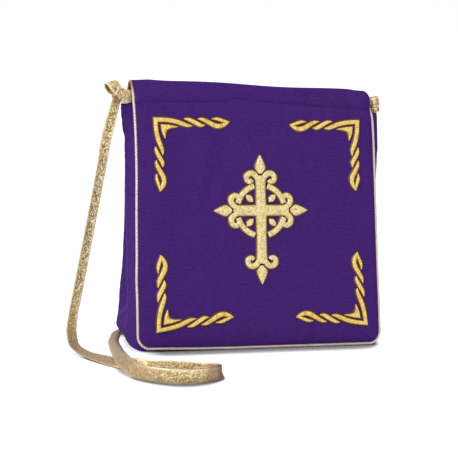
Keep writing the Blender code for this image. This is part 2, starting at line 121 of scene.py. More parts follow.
PINCH_REACH = 0.0100
PINCH_ENDS = 0.0140
MOUTH_SPREAD = 0.0040
FOLD_FROM = 0.0550
FOLD_TO = 0.0810
FOLD_ROUNDS_TO = 0.0400
LOW_FULLNESS = 0.34

# The cloth's lesser relief: how much each kind stands out or in, and how far it reaches
SEWN_DEPTH = 0.0007
SEWN_REACH = 0.0009
PUCKER_HEIGHT = 0.00025
PUCKER_REACH = 0.0050
SLOW_HEIGHT = 0.0004
FINE_HEIGHT = 0.00012
PANEL_UNEVEN = 0.0003
GUSSET_UNEVEN = 0.0002
EDGE_REACH = 0.0080
LEFT_TURN = 0.0006
LEFT_TURN_REACH = 0.0090
RIGHT_RIDGE = 0.0004
RIGHT_RIDGE_AT = 0.0025
RIGHT_RIDGE_REACH = 0.0035
HEM_CURL = 0.0010
HEM_CURL_REACH = 0.0120
DITCH = 0.0006
DITCH_REACH = 0.0013

# Pressed creases in a side: one up it, and one that runs from it back and down to the folded corner
CREASE_FROM_FRONT = 0.0078
CREASE_FOOT = 0.006
CREASE_TOP = 0.112
CREASE_HEIGHT = 0.0006
CREASE_REACH = 0.0008
SLANT_TOP = 0.0275
SLANT_FALL = 0.0115
SLANT_HEIGHT = 0.0005
SLANT_REACH = 0.0007
BEHIND_DEPTH = 0.0004

# Strap: its full width, and its thickness in the casing, where it is free, and in the loop. Where its lowest
# point is under RESTS_UNDER, it is let down to RESTS_AT
STRAP_WIDTH = 0.0086
STRAP_FLAT = 0.0016
STRAP_BODY = 0.0014
STRAP_THIN = 0.0011
RESTS_AT = 0.0001
RESTS_UNDER = 0.0018
RESTS_FADES = 0.0008
LOOP_WIDTH = 0.0090
WIDTH_UNEVEN = 0.03
HOLLOW_UNEVEN = 0.00015
WRAP_HOLLOW = 0.0002
WRAP_SLANT = 0.0010
WRAP_STEPS = 44

# Stored on the strap: where its paler edge band starts across it, partly its own weave and partly painted
# sheen, and how far its two faces' weaves lie apart
RIM_FROM = 0.56
RIM_REACH = 0.36
OTHER_FACE = 0.02

# In the casing: the way that the strap's width runs, how far it is hollowed, and how much painted light it
# gets
CASING_ACROSS = (0.0, 0.08, 1.0)
CASING_HOLLOW = -0.0003
CASING_PAINTED_LIGHT = 1.16

# How finely the sheets are divided
COLUMNS = 132
BACK_ROWS = 70
CASING_STEPS = 5
FLAP_ROWS = 116
PANEL_COLUMNS = 60
PANEL_ROWS = 50
GUSSET_ROWS = 60

# The casing from the front stitch over the top to the back: share of its depth, share of its height
CASING = (
    (0.00, 0.00),
    (0.12, 0.26),
    (0.25, 0.52),
    (0.38, 0.76),
    (0.52, 0.94),
    (0.64, 1.00),
    (0.78, 0.95),
    (0.90, 0.80),
    (0.98, 0.58),
    (1.00, 0.36),
    (0.97, 0.17),
)

# Piping: its strands, the length of one twist, how many rows of the casing it follows at the right mouth,
# how far it is tucked in there, and where the flap's sides and hem begin
PIPING_STRANDS = 3
PIPING_PITCH = 0.0060
RIGHT_PIPED = 4
TUCK = 0.0022
SIDES_FROM = 0.072
HEM_TO = 0.012

# Where the piping is inside a mouth, and so in shade: how far behind the front cloth, and how high
INSIDE_FROM = 0.0016
INSIDE_REACH = 0.003
INSIDE_ABOVE = 0.15
INSIDE_RISE = 0.01

# The seam under the casing: x, z
SEAM = (
    (-0.0820, 0.1584),
    (-0.0726, 0.1595),
    (-0.0560, 0.1599),
    (-0.0390, 0.1599),
    (-0.0225, 0.1604),
    (-0.0155, 0.1624),
    (-0.0030, 0.1612),
    (0.0130, 0.1601),
    (0.0290, 0.1594),
    (0.0445, 0.1582),
    (0.0624, 0.1572),
    (0.0830, 0.1565),
)

# The flap's side edges: z, left, right
FLAP_EDGES = (
    (0.0000, -0.0815, 0.0829),
    (0.0110, -0.0816, 0.0828),
    (0.0330, -0.0817, 0.0825),
    (0.0480, -0.0819, 0.0821),
    (0.0630, -0.0815, 0.0818),
    (0.0860, -0.0812, 0.0816),
    (0.1000, -0.0809, 0.0815),
    (0.1160, -0.0806, 0.0814),
    (0.1390, -0.0806, 0.0812),
    (0.1470, -0.0810, 0.0808),
    (0.1590, -0.0814, 0.0803),
)

# Folds in the front cloth: x, z, half length, half width, height, lean from upright in degrees
FOLDS = (
    (-0.0270, 0.1240, 0.0180, 0.0060, -0.0006, 21),
    (-0.0325, 0.1045, 0.0120, 0.0055, -0.0012, 25),
    (-0.0560, 0.0830, 0.0180, 0.0090, -0.0010, 64),
    (-0.0265, 0.1050, 0.0100, 0.0035, 0.0004, 20),
    (0.0013, 0.1050, 0.0090, 0.0025, -0.0003, 0),
    (0.0143, 0.1040, 0.0090, 0.0040, 0.0003, 0),
    (0.0370, 0.1640, 0.0060, 0.0024, -0.0010, -37),
    (0.0510, 0.1640, 0.0055, 0.0024, -0.0009, -37),
    (0.0655, 0.1625, 0.0060, 0.0026, -0.0010, -37),
    (0.0745, 0.1620, 0.0050, 0.0045, 0.0010, 0),
    (-0.0080, 0.1665, 0.0040, 0.0060, 0.0005, 20),
    (-0.0190, 0.1575, 0.0060, 0.0016, -0.0004, 20),
    (0.0330, 0.1535, 0.0045, 0.0026, 0.0005, 0),
    (0.0435, 0.1535, 0.0045, 0.0026, 0.0006, 0),
    (0.0535, 0.1530, 0.0045, 0.0026, 0.0005, 0),
    (-0.0555, 0.1518, 0.0020, 0.0015, -0.0003, 10),
    (-0.0245, 0.0085, 0.0070, 0.0035, -0.0006, 0),
    (-0.0170, 0.0075, 0.0060, 0.0030, 0.0005, 0),
    (-0.0073, 0.0100, 0.0090, 0.0045, -0.0009, -8),
    (0.0050, 0.0060, 0.0040, 0.0030, -0.0004, 0),
    (0.0260, 0.0100, 0.0060, 0.0018, -0.0005, 0),
    (0.0310, 0.0095, 0.0060, 0.0022, 0.0005, 5),
    (0.0375, 0.0100, 0.0060, 0.0020, -0.0006, 10),
    (-0.0600, 0.0100, 0.0060, 0.0060, -0.0004, 0),
)

# How far each side of the gusset folds outward: height, outward fold, its ridge from front 0 to back 1
GUSSET_FOLD = (
    (0.0000, 0.0056, 0.72),
    (0.0055, 0.0060, 0.80),
    (0.0115, 0.0066, 0.86),
    (0.0160, 0.0060, 0.85),
    (0.0300, 0.0056, 0.82),
    (0.0600, 0.0046, 0.74),
    (0.0950, 0.0045, 0.66),
    (0.1150, 0.0046, 0.62),
    (0.1320, 0.0050, 0.58),
    (0.1370, 0.0052, 0.57),
    (0.1420, 0.0067, 0.56),
    (0.1470, 0.0071, 0.54),
    (0.1600, 0.0076, 0.50),
)

# The same on the right, but with its ridge further forward from the seventh row up
RIGHT_FOLD = GUSSET_FOLD[:6] + (
    (0.0930, 0.0050, 0.43),
    (0.1040, 0.0059, 0.36),
    (0.1180, 0.0066, 0.34),
    (0.1300, 0.0067, 0.30),
    (0.1400, 0.0064, 0.30),
    (0.1500, 0.0060, 0.30),
    (0.1600, 0.0048, 0.30),
)

# The strap's run through the casing: x, y, z, width
CASING_STRAP = (
    (-0.0905, 0.0076, 0.1631, 0.0094),
    (-0.0865, 0.0080, 0.1628, 0.0088),
    (-0.0820, 0.0086, 0.1623, 0.0078),
    (-0.0760, 0.0096, 0.1633, 0.0068),
    (-0.0640, 0.0101, 0.1659, 0.0050),
    (-0.0400, 0.0100, 0.1662, 0.0050),
    (-0.0155, 0.0099, 0.1674, 0.0040),
    (0.0000, 0.0098, 0.1665, 0.0044),
    (0.0300, 0.0100, 0.1653, 0.0050),
    (0.0600, 0.0096, 0.1643, 0.0048),
    (0.0720, 0.0093, 0.1630, 0.0046),
    (0.0770, 0.0089, 0.1618, 0.0046),
    (0.0825, 0.0086, 0.1613, 0.0046),
)

# The strap's free route, from the left knot to the right one. Each row is a place and the direction of the
# strap's width there
STRAP_ROUTE = (
    ((-0.0938, 0.0046, 0.1618), (0.84, 0.45, 0.30)),
    ((-0.0979, 0.0030, 0.1480), (0.88, 0.30, 0.15)),
    ((-0.1013, 0.0024, 0.1340), (0.88, 0.30, 0.15)),
    ((-0.1051, 0.0012, 0.1120), (0.84, 0.44, 0.15)),
    ((-0.1182, -0.0030, 0.0430), (0.87, 0.40, 0.15)),
    ((-0.1222, -0.0050, 0.0230), (0.91, 0.38, 0.15)),
    ((-0.1236, -0.0090, 0.0100), (0.91, 0.38, 0.10)),
    ((-0.1213, -0.0205, 0.0030), (0.90, 0.40, 0.10)),
    ((-0.1100, -0.0490, 0.0030), (0.80, 0.40, 0.38)),
    ((-0.1030, -0.0615, 0.0032), (0.66, 0.42, 0.56)),
    ((-0.0945, -0.0715, 0.0044), (0.36, 0.30, 0.84)),
    ((-0.0840, -0.0790, 0.0047), (0.10, 0.10, 1.00)),
    ((-0.0720, -0.0840, 0.0046), (0.00, 0.05, 1.00)),
    ((-0.0600, -0.0895, 0.0046), (0.00, 0.05, 1.00)),
    ((-0.0536, -0.0940, 0.0047), (-0.10, 0.00, 1.00)),
    ((-0.0504, -0.0988, 0.0048), (-0.27, 0.00, 1.00)),
    ((-0.0524, -0.1040, 0.0048), (-0.18, -0.05, 1.00)),
    ((-0.0595, -0.1090, 0.0048), (-0.03, -0.10, 1.00)),
    ((-0.0700, -0.1125, 0.0050), (0.00, -0.12, 1.00)),
    ((-0.0810, -0.1125, 0.0052), (0.00, -0.12, 1.00)),
    ((-0.0910, -0.1075, 0.0054), (-0.05, -0.15, 1.00)),
    ((-0.0988, -0.0990, 0.0055), (0.10, -0.20, 0.97)),
    ((-0.1036, -0.0875, 0.0062), (0.38, -0.27, 0.88)),
    ((-0.1050, -0.0750, 0.0072), (0.72, -0.30, 0.58)),
    ((-0.1040, -0.0620, 0.0074), (0.88, -0.28, 0.34)),
    ((-0.1012, -0.0410, 0.0064), (0.95, -0.15, 0.20)),
    ((-0.0948, -0.0040, 0.0042), (0.98, -0.16, 0.08)),
    ((-0.0902, 0.0115, 0.0044), (0.90, -0.42, 0.20)),
    ((-0.0868, 0.0230, 0.0048), (0.74, -0.50, 0.46)),
    ((-0.0802, 0.0306, 0.0040), (0.62, -0.52, 0.58)),
    ((-0.0670, 0.0345, 0.0048), (0.22, -0.20, 0.95)),
    ((0.0300, 0.0370, 0.0049), (0.00, 0.10, 1.00)),
    ((0.0550, 0.0345, 0.0060), (-0.10, 0.10, 1.00)),
    ((0.0690, 0.0315, 0.0120), (-0.60, 0.10, 0.75)),
    ((0.0752, 0.0290, 0.0260), (-0.97, 0.05, 0.20)),
    ((0.0775, 0.0266, 0.0530), (-1.00, 0.00, 0.05)),
    ((0.0805, 0.0208, 0.1370), (-1.00, 0.00, 0.00)),
    ((0.0832, 0.0192, 0.1540), (-1.00, 0.00, 0.00)),
    ((0.0850, 0.0152, 0.1610), (-1.00, 0.00, 0.00)),
    ((0.0850, 0.0116, 0.1618), (-1.00, 0.00, 0.00)),
)

# The strap's shape along that route: row, share of its full width, how far it is hollowed, and the painted
# light and shade on it, low where it lies in shade and high where it faces the light
STRAP_SHAPE = (
    (0, 0.80, 0.0005, 0.42),
    (1, 0.90, 0.0008, 0.92),
    (2, 0.96, 0.0009, 1.02),
    (4, 0.94, 0.0009, 1.06),
    (5, 0.88, 0.0008, 0.92),
    (6, 0.84, 0.0006, 0.62),
    (7, 0.84, 0.0003, 0.56),
    (8, 1.00, 0.0002, 0.62),
    (10, 0.96, 0.0003, 0.86),
    (11, 0.92, 0.0004, 1.12),
    (13, 0.90, 0.0005, 1.04),
    (14, 0.92, 0.0000, 0.60),
    (15, 0.96, -0.0010, 0.26),
    (16, 0.98, -0.0007, 0.28),
    (17, 1.00, 0.0001, 0.60),
    (18, 1.03, 0.0003, 1.10),
    (19, 1.08, 0.0004, 1.06),
    (20, 1.12, 0.0004, 0.80),
    (21, 1.12, 0.0003, 0.70),
    (23, 1.08, 0.0002, 0.62),
    (25, 0.94, 0.0004, 0.60),
    (26, 0.82, 0.0007, 0.56),
    (28, 0.80, 0.0007, 0.40),
    (30, 0.86, 0.0005, 0.70),
    (39, 1.00, 0.0004, 0.95),
)

# The left knot: its middle, the way its standing loop points and faces, and the loop's turns
LEFT_KNOT = (-0.0926, 0.0060, 0.1645)
LOOP_POINTS = (-0.40, 0.53, 0.74)
LOOP_FACES = (0.90, 0.39, 0.21)
LOOP_SHIFT = 0.0006
LOOP_TURNS = (
    (0.0000, -0.0008),
    (0.0022, -0.0017),
    (0.0050, -0.0021),
    (0.0080, -0.0017),
    (0.0095, 0.0002),
    (0.0080, 0.0022),
    (0.0050, 0.0026),
    (0.0022, 0.0020),
    (0.0000, 0.0008),
)

# The right knot: the middles of its wrap and of its lobe
RIGHT_KNOT = (0.0857, 0.0066, 0.1618)
RIGHT_LOBE = (0.0862, 0.0052, 0.1568)

# Each wrap: its axis, the band's width, the turn's depth and height, where its weave starts, and its painted
# light and shade on the two sides of the turn
LEFT_WRAP = ((0.86, 0.10, -0.50), 0.0050, 0.0030, 0.0043, 2.0, (0.40, 1.0))
RIGHT_WRAP = ((-0.26, 0.0, 1.0), 0.0064, 0.0036, 0.0029, 2.0, (0.42, 1.12))
LOBE_WRAP = ((-0.35, 0.0, 1.0), 0.0034, 0.0030, 0.0022, 2.5, (0.32, 0.8))

# The pitch of the cloth's weave and of the topstitching
TWILL_PITCH = 0.0006
STITCH_PITCH = 0.0026

# Satin stitch: its thread and padding, the width from which the padding is full, the thread's ridges, the
# heights of its foot and of its base, and the width and height of the strip of painted shadow beside it,
# where the cloth is drawn in
THREAD = 0.00045
PADDING = 0.0008
FULL_FROM = 0.0024
RIDGE = 0.00006
GROOVE = 0.00002
SATIN_FOOT = -0.0003
SATIN_BASE = 0.00024
OUTLINE = 0.0010
OUTLINE_HEIGHT = 0.00016
OUTWARD = Vector((0, -1, FRONT_LEAN)).normalized()

# A corner ornament's strands along one arm: share of the arm's length, distance in from its edge, width
OUTER_STRAND = (
    (0.040, 0.0014, 0.0028),
    (0.175, 0.0017, 0.0027),
    (0.290, 0.0027, 0.0028),
    (0.390, 0.0043, 0.0027),
    (0.455, 0.0053, 0.0020),
    (0.510, 0.0054, 0.0003),
)
CROSSING_STRAND = (
    (0.000, 0.0009, 0.0003),
    (0.065, 0.0014, 0.0022),
    (0.150, 0.0034, 0.0027),
    (0.225, 0.0051, 0.0023),
    (0.280, 0.0051, 0.0003),
)
HOOKED_STRAND = (
    (0.000, 0.0009, 0.0003),
    (0.065, 0.0014, 0.0022),
    (0.150, 0.0034, 0.0028),
    (0.230, 0.0053, 0.0031),
    (0.300, 0.0056, 0.0028),
    (0.360, 0.0044, 0.0023),
    (0.420, 0.0029, 0.0002),
)
CLOSING_STRAND = (
    (0.000, 0.0010, 0.0003),
    (0.070, 0.0010, 0.0018),
    (0.135, 0.0019, 0.0020),
    (0.190, 0.0026, 0.0014),
    (0.240, 0.0028, 0.0002),
)
STRAND_STARTS = (
    (OUTER_STRAND, 0.0),
    (CROSSING_STRAND, 0.395),
    (HOOKED_STRAND, 0.580),
    (CLOSING_STRAND, 0.762),
)
MITRE = 0.0029

# The leaf inside a corner: pairs of its outer and inner edge, along the hem and along the side
CORNER_LEAF = (
    ((0.0163, 0.0060), (0.0163, 0.0062)),
    ((0.0106, 0.0048), (0.0118, 0.0069)),
    ((0.0070, 0.0046), (0.0097, 0.0076)),
    ((0.0049, 0.0045), (0.0088, 0.0082)),
    ((0.0050, 0.0068), (0.0083, 0.0092)),
    ((0.0055, 0.0095), (0.0079, 0.0103)),
    ((0.0072, 0.0137), (0.0074, 0.0137)),
)

# Where each corner is, and its arms: x, z, arm length and lean inward along the hem, the same along the side
CORNERS = (
    (-0.0706, 0.1497, 0.0513, -0.010, 0.0472, 0.012),
    (0.0722, 0.1496, 0.0497, 0.019, 0.0469, 0.018),
    (-0.0711, 0.0126, 0.0519, 0.113, 0.0494, 0.015),
    (0.0752, 0.0133, 0.0507, 0.078, 0.0486, 0.080),
)

# The cross: its middle, the reach of its arms, the width of its bars, its scrolls, and the ring behind them
# with the leaves inside it, as distance out and width
CROSS_X = 0.0011
CROSS_Z = 0.0900
CROSS_UP = 0.0360
CROSS_DOWN = 0.0480
CROSS_SIDE = 0.0325
CROSS_BAR = 0.0074
CROSS_END = 0.0150
SCROLL_RADIUS = 0.0046
SCROLL_END = 0.0013
SCROLL_ASIDE = 0.0070
SCROLL_WIDTHS = (0.0040, 0.0030)
RING_RADIUS = 0.0165
RING_WIDTH = 0.0036
RING_LEAF = ((0.0078, 0.0004), (0.0100, 0.0036), (0.0124, 0.0034), (0.0142, 0.0004))

# Embroidery threads: name, pale, light and warm colours, how far they sparkle; and the painted shadow where
# they dive into the cloth
CORNER_THREAD = ("yellow_gold_thread", (0.94, 0.74, 0.25), (0.69, 0.49, 0.10), (0.34, 0.17, 0.03), 0.3)
CROSS_THREAD = ("pale_gold_thread", (0.88, 0.80, 0.46), (0.62, 0.50, 0.21), (0.38, 0.24, 0.07), 0.6)
THREAD_SHADE = (0.060, 0.018, 0.024)


def blend(a, b, share):
    return a + (b - a) * share


def smooth(share):
    share = min(max(share, 0.0), 1.0)
    return share * share * (3 - 2 * share)


def bump(distance, reach):
    return math.exp(-((distance / reach) ** 2))


def shares(count):
    """Shares from 0 to 1 in even steps."""
    return [part / count for part in range(count + 1)]


def from_table(table, at, column):
    """Read a column of a table at a place between its rows."""
    for low, high in zip(table, table[1:]):
        if at <= high[0]:
            return blend(low[column], high[column], smooth((at - low[0]) / (high[0] - low[0])))
    return table[-1][column]


def catmull(points, steps):
    """A smooth curve through the points."""
    curve = []
    padded = [points[0] * 2 - points[1]] + list(points) + [points[-1] * 2 - points[-2]]
    for a, b, c, d in zip(padded, padded[1:], padded[2:], padded[3:]):
        for step in range(steps):
            t = step / steps
            slope = c - a
            bend = 2 * a - 5 * b + 4 * c - d
            twist = 3 * b - a - 3 * c + d
            curve.append(0.5 * (2 * b + slope * t + bend * t**2 + twist * t**3))
    return curve + [points[-1]]


def wander(x, z, size, seed):
    """Smooth unevenness between -1 and 1, changing over a size in metres."""
    return noise.noise(Vector((x / size, z / size, seed)))


# Camera, light and floor


def add_camera():
    turn, rise, roll = (math.radians(angle) for angle in (CAMERA_TURN, CAMERA_RISE, CAMERA_ROLL))
    back = Vector((-math.sin(turn) * math.cos(rise), -math.cos(turn) * math.cos(rise), math.sin(rise)))
    level = Vector((math.cos(turn), -math.sin(turn), 0))
    above = back.cross(level)
    right = level * math.cos(roll) + above * math.sin(roll)
    up = above * math.cos(roll) - level * math.sin(roll)
    camera = bpy.data.objects.new("camera", bpy.data.cameras.new("camera"))
    camera.data.sensor_width = SENSOR
    camera.data.lens = SENSOR * FOCAL_IN_PIXELS / PHOTO_SIDE
    place = Vector(CAMERA_TARGET) + back * CAMERA_DISTANCE
    camera.matrix_world = Matrix.Translation(place) @ Matrix((right, up, back)).transposed().to_4x4()
    bpy.context.scene.collection.objects.link(camera)
    bpy.context.scene.camera = camera


def add_studio():
    """White all round, and one soft light from the front left."""
    world = bpy.data.worlds.new("studio")
    world.use_nodes = True
    background = world.node_tree.nodes["Background"]
    background.inputs["Color"].default_value = (*WHITE, 1.0)
    background.inputs["Strength"].default_value = 1.0
    bpy.context.scene.world = world
    bpy.context.scene.view_settings.view_transform = "Standard"
    light = bpy.data.lights.new("key", "AREA")
    light.shape = "RECTANGLE"
    light.size = LIGHT_SIDE
    light.size_y = LIGHT_SIDE
    light.energy = LIGHT_WATTS
    key = bpy.data.objects.new("key", light)
    key.location = LIGHT_PLACE
    key.rotation_euler = (Vector(LIGHT_TARGET) - Vector(LIGHT_PLACE)).to_track_quat("-Z", "Y").to_euler()
    bpy.context.scene.collection.objects.link(key)


def add_floor():
    """A plain white floor that glows, with shade painted into its glow where something stands close over it,
    and less of it beside the open left side."""
    bm = bmesh.new()
    bmesh.ops.create_grid(bm, x_segments=1, y_segments=1, size=FLOOR_SIZE)
    mesh = bpy.data.meshes.new("floor")
    bm.to_mesh(mesh)
    bm.free()
    floor = bpy.data.objects.new("floor", mesh)
    base = {"Roughness": 0.9, "Base Color": (0.2, 0.2, 0.2, 1.0), "Specular IOR Level": 0.0}
    look = Shading("floor_white", {**base, "Emission Strength": 1.0})

    def openness(distance, x, y, z):
        """How open the space over a point is, seen in a direction: 1 is fully open."""
        towards = look.node("ShaderNodeCombineXYZ", {"X": x, "Y": y, "Z": z}).outputs[0]
        inputs = {"Distance": distance, "Normal": towards}
        return look.node("ShaderNodeAmbientOcclusion", inputs).outputs["AO"]

    def within(axis, limits):
        """0 at the first limit along an axis, 1 at the second."""
        ends = {"Value": look.axis(look.place(), axis), "From Min": limits[0], "From Max": limits[1]}
        return look.node("ShaderNodeMapRange", ends).outputs[0]

    stops = ((0.48, 0.05), (0.56, 0.28), (0.64, 0.56), (0.74, 0.82), (0.84, 0.95), (0.93, 1.00))
    # The shade is painted into the floor's glow, from how open the space over each point is
    falling = look.grey(openness(FALLING_REACH, 0.0, 0.86, 0.51), *stops)
    to_left = openness(FALLING_REACH, -0.86, 0.0, 0.51)
    to_right = openness(FALLING_REACH, 0.86, 0.0, 0.51)
    beside = look.grey(look.math("MAXIMUM", to_left, to_right), (0.86, 0), (0.99, 1))
    open_side = look.times(within("X", OPEN_SIDE_X), within("Y", OPEN_SIDE_Y))
    falling = look.mix(open_side, look.mix(beside, falling, WHITE), WHITE)
    touching = look.grey(openness(TOUCHING_REACH, 0.0, 0.0, 1.0), (0.45, 0.12), (0.75, 0.70), (0.95, 1.00))
    touching = look.mix(look.times(open_side, 0.6), touching, WHITE)
    glow = look.mix(1.0, falling, touching, "MULTIPLY")
    look.tree.links.new(glow, look.shader.inputs["Emission Color"])
    floor.data.materials.append(look.material)
    bpy.context.scene.collection.objects.link(floor)


# Materials


class Shading:
    """A material's nodes, added one by one and joined by socket."""

    def __init__(self, name, settings):
        self.material = bpy.data.materials.new(name)
        self.material.use_nodes = True
        self.tree = self.material.node_tree
        self.shader = self.tree.nodes["Principled BSDF"]
        for socket, value in settings.items():
            self.shader.inputs[socket].default_value = value

    def node(self, kind, inputs=(), **settings):
        made = self.tree.nodes.new(kind)
        for key, value in settings.items():
            setattr(made, key, value)
        for key, value in dict(inputs).items():
            if isinstance(value, bpy.types.NodeSocket):
                self.tree.links.new(value, made.inputs[key])
            else:
                made.inputs[key].default_value = value
        return made

    def place(self, attribute=None):
        """Where a point is: a mesh's own place, or a vector stored on its points."""
        if attribute:
            return self.node("ShaderNodeAttribute", attribute_name=attribute).outputs["Vector"]
        return self.node("ShaderNodeTexCoord").outputs["Object"]

    def stored(self, attribute):
        return self.node("ShaderNodeAttribute", attribute_name=attribute).outputs["Fac"]

    def noise(self, place, size, detail=2.0):
        inputs = {"Vector": place, "Scale": 1 / size, "Detail": detail}
        return self.node("ShaderNodeTexNoise", inputs).outputs["Fac"]

    def cells(self, place, size):
        return self.node("ShaderNodeTexVoronoi", {"Vector": place, "Scale": 1 / size})

    def flecks(self, cells):
        """One value for each cell."""
        return self.node("ShaderNodeSeparateColor", {"Color": cells.outputs["Color"]}).outputs[0]

    def axis(self, vector, name):
        return self.node("ShaderNodeSeparateXYZ", {"Vector": vector}).outputs[name]

    def math(self, operation, a, b=0.0):
        return self.node("ShaderNodeMath", {0: a, 1: b}, operation=operation).outputs[0]

    def times(self, a, b):
        return self.math("MULTIPLY", a, b)

    def plus(self, a, b):
        return self.math("ADD", a, b)

    def ramp(self, value, stops):
        made = self.node("ShaderNodeValToRGB", {"Fac": value})
        ramp = made.color_ramp
        while len(ramp.elements) < len(stops):
            ramp.elements.new(0.5)
        for element, (at, colour) in zip(ramp.elements, stops):
            element.position = at
            element.color = (*colour, 1.0)
        return made.outputs["Color"]

    def grey(self, value, *stops):
        """A tone from 0 to 1 by a value, from stops of place and tone."""
        return self.ramp(value, [(at, (tone, tone, tone)) for at, tone in stops])

    def mix(self, share, a, b, how="MIX"):
        made = self.node("ShaderNodeMix", data_type="RGBA", blend_type=how)
        for socket, value in ((made.inputs[0], share), (made.inputs[6], a), (made.inputs[7], b)):
            if isinstance(value, bpy.types.NodeSocket):
                self.tree.links.new(value, socket)
            else:
                socket.default_value = value if isinstance(value, float) else (*value, 1.0)
        return made.outputs[2]

    def bump(self, height, strength, distance):
        inputs = {"Height": height, "Strength": strength, "Distance": distance}
        return self.node("ShaderNodeBump", inputs).outputs["Normal"]

    def finish(self, colour, normal):
        self.tree.links.new(colour, self.shader.inputs["Base Color"])
        self.tree.links.new(normal, self.shader.inputs["Normal"])
        return self.material


def twill_material():
    """Deep purple twill: fine diagonal ribs, thread by thread unevenness and slow changes of shade. Painted
    shade darkens the sewn line, its stitch holes and a side's rear part; a painted highlight pales the
    creases.
    """
    sheen = {"Sheen Weight": 0.03, "Sheen Roughness": 0.5, "Sheen Tint": (0.35, 0.15, 0.80, 1.0)}
    look = Shading("purple_twill", {"Roughness": 0.85, "Specular IOR Level": 0.08, **sheen})
    weave = look.place("weave")
    slanted = (0, 0, math.radians(63))
    turned = look.node("ShaderNodeMapping", {"Vector": weave, "Rotation": slanted}).outputs[0]
    wave = {"Vector": turned, "Scale": 1 / (TWILL_PITCH * 6.28), "Distortion": 0.8}
    ribs = look.node("ShaderNodeTexWave", wave).outputs["Fac"]
    threads = look.noise(weave, 0.0009, 3.0)
    drawn_out = look.node("ShaderNodeMapping", {"Vector": weave, "Scale": (0.25, 1, 1)}).outputs[0]
    slubs = look.noise(drawn_out, 0.0012)
    cloudy = look.noise(weave, 0.016, 3.0)
    grain = look.plus(look.times(ribs, 0.14), look.times(threads, 0.5))
    grain = look.plus(grain, look.times(slubs, 0.36))
    shade = look.ramp(grain, ((0.25, (0.028, 0.0062, 0.086)), (0.75, (0.056, 0.0165, 0.155))))
    clouds = look.ramp(cloudy, ((0.3, (0.80, 0.80, 0.82)), (0.7, WHITE)))
    colour = look.mix(0.5, shade, clouds, "MULTIPLY")
    # Painted shade along the sewn line under the casing: a dark line on it and a darker band just above
    over_seam = look.plus(look.times(look.stored("seam"), 100.0), 0.5)
    seam_shades = (
        (0.41, WHITE),
        (0.46, (0.72, 0.72, 0.74)),
        (0.52, (0.72, 0.72, 0.74)),
        (0.58, (0.84, 0.84, 0.85)),
        (0.74, (0.88, 0.88, 0.89)),
        (0.94, WHITE),
    )
    seam_shaded = look.mix(1.0, colour, look.ramp(over_seam, seam_shades), "MULTIPLY")
    colour = look.mix(look.grey(cloudy, (0.3, 0.5), (0.6, 1)), colour, seam_shaded)
    # Painted shade in the stitch holes along the sewn line
    along_seam = look.times(look.axis(weave, "X"), 1 / STITCH_PITCH)
    stitches = look.math("LESS_THAN", look.math("FRACT", along_seam), 0.25)
    line = look.grey(over_seam, (0.44, 0), (0.48, 1), (0.50, 1), (0.54, 0))
    stitch_hole_shade = look.times(look.times(stitches, line), 0.45)
    colour = look.mix(stitch_hole_shade, colour, (0.012, 0.003, 0.04))
    # Painted highlight along pressed creases, and painted shade on a side's rear part behind its upright
    # crease
    colour = look.mix(look.times(look.stored("crease"), 0.6), colour, (0.100, 0.042, 0.24))
    colour = look.mix(look.times(look.stored("turned"), 0.40), colour, (0.022, 0.006, 0.075))
    return look.finish(colour, look.bump(grain, 0.3, 0.00012))


def lame_material():
    """Champagne lame: metal threads that catch the light in specks, smoother and paler along both edges,
    partly by their own weave and partly by a painted sheen. The specks are calmer on the knots and low down,
    where stretches in deep painted shade are plain. The stored tone gives painted shade, and painted light
    where it is highest."""
    look = Shading("gold_lame", {"Roughness": 0.45, "Metallic": 0.45, "Specular IOR Level": 0.5})
    place = look.place("strap")
    specks = look.cells(place, 0.00072)
    soft = look.noise(place, 0.0022, 3.0)
    value = look.plus(look.times(look.flecks(specks), 0.78), look.times(soft, 0.22))
    height = look.times(look.axis(look.place(), "Z"), 5.0)
    lying = look.grey(height, (0.10, 1), (0.22, 0))
    knotted = look.grey(height, (0.77, 0), (0.80, 0.5))
    calm = look.times(look.plus(lying, knotted), 0.4)
    threads = (
        (0.15, (0.19, 0.110, 0.040)),
        (0.40, (0.38, 0.255, 0.105)),
        (0.62, (0.66, 0.50, 0.255)),
        (0.82, (1.00, 0.91, 0.620)),
    )
    sparkling = look.ramp(look.mix(calm, value, (0.5, 0.5, 0.5)), threads)
    # Paler, smoother edges: partly their own weave, partly a painted sheen
    rim_sheen = look.ramp(soft, ((0.3, (0.66, 0.52, 0.32)), (0.7, (0.95, 0.83, 0.60))))
    lit = look.mix(look.times(look.stored("rim_sheen"), 0.8), sparkling, rim_sheen)
    plain = look.ramp(soft, ((0.3, (0.28, 0.18, 0.100)), (0.7, (0.40, 0.275, 0.165))))
    tone = look.stored("tone")
    # Where painted shade is deep and the strap lies low, plain colour without specks
    plain_in_shade = look.times(look.grey(tone, (0.66, 1), (0.90, 0)), lying)
    colour = look.mix(look.times(plain_in_shade, 0.62), lit, plain)
    # Painted light and shade from the stored tone: a low tone darkens it, the highest pales it
    painted_light_half = look.times(tone, 0.5)
    shades = ((0.13, (0.26, 0.17, 0.10)), (0.34, (0.88, 0.86, 0.84)), (0.6, WHITE))
    colour = look.mix(1.0, colour, look.ramp(painted_light_half, shades), "MULTIPLY")
    colour = look.mix(look.grey(painted_light_half, (0.55, 0), (0.60, 0.45)), colour, (0.86, 0.70, 0.43))
    return look.finish(colour, look.bump(specks.outputs["Distance"], 0.4, 0.00015))


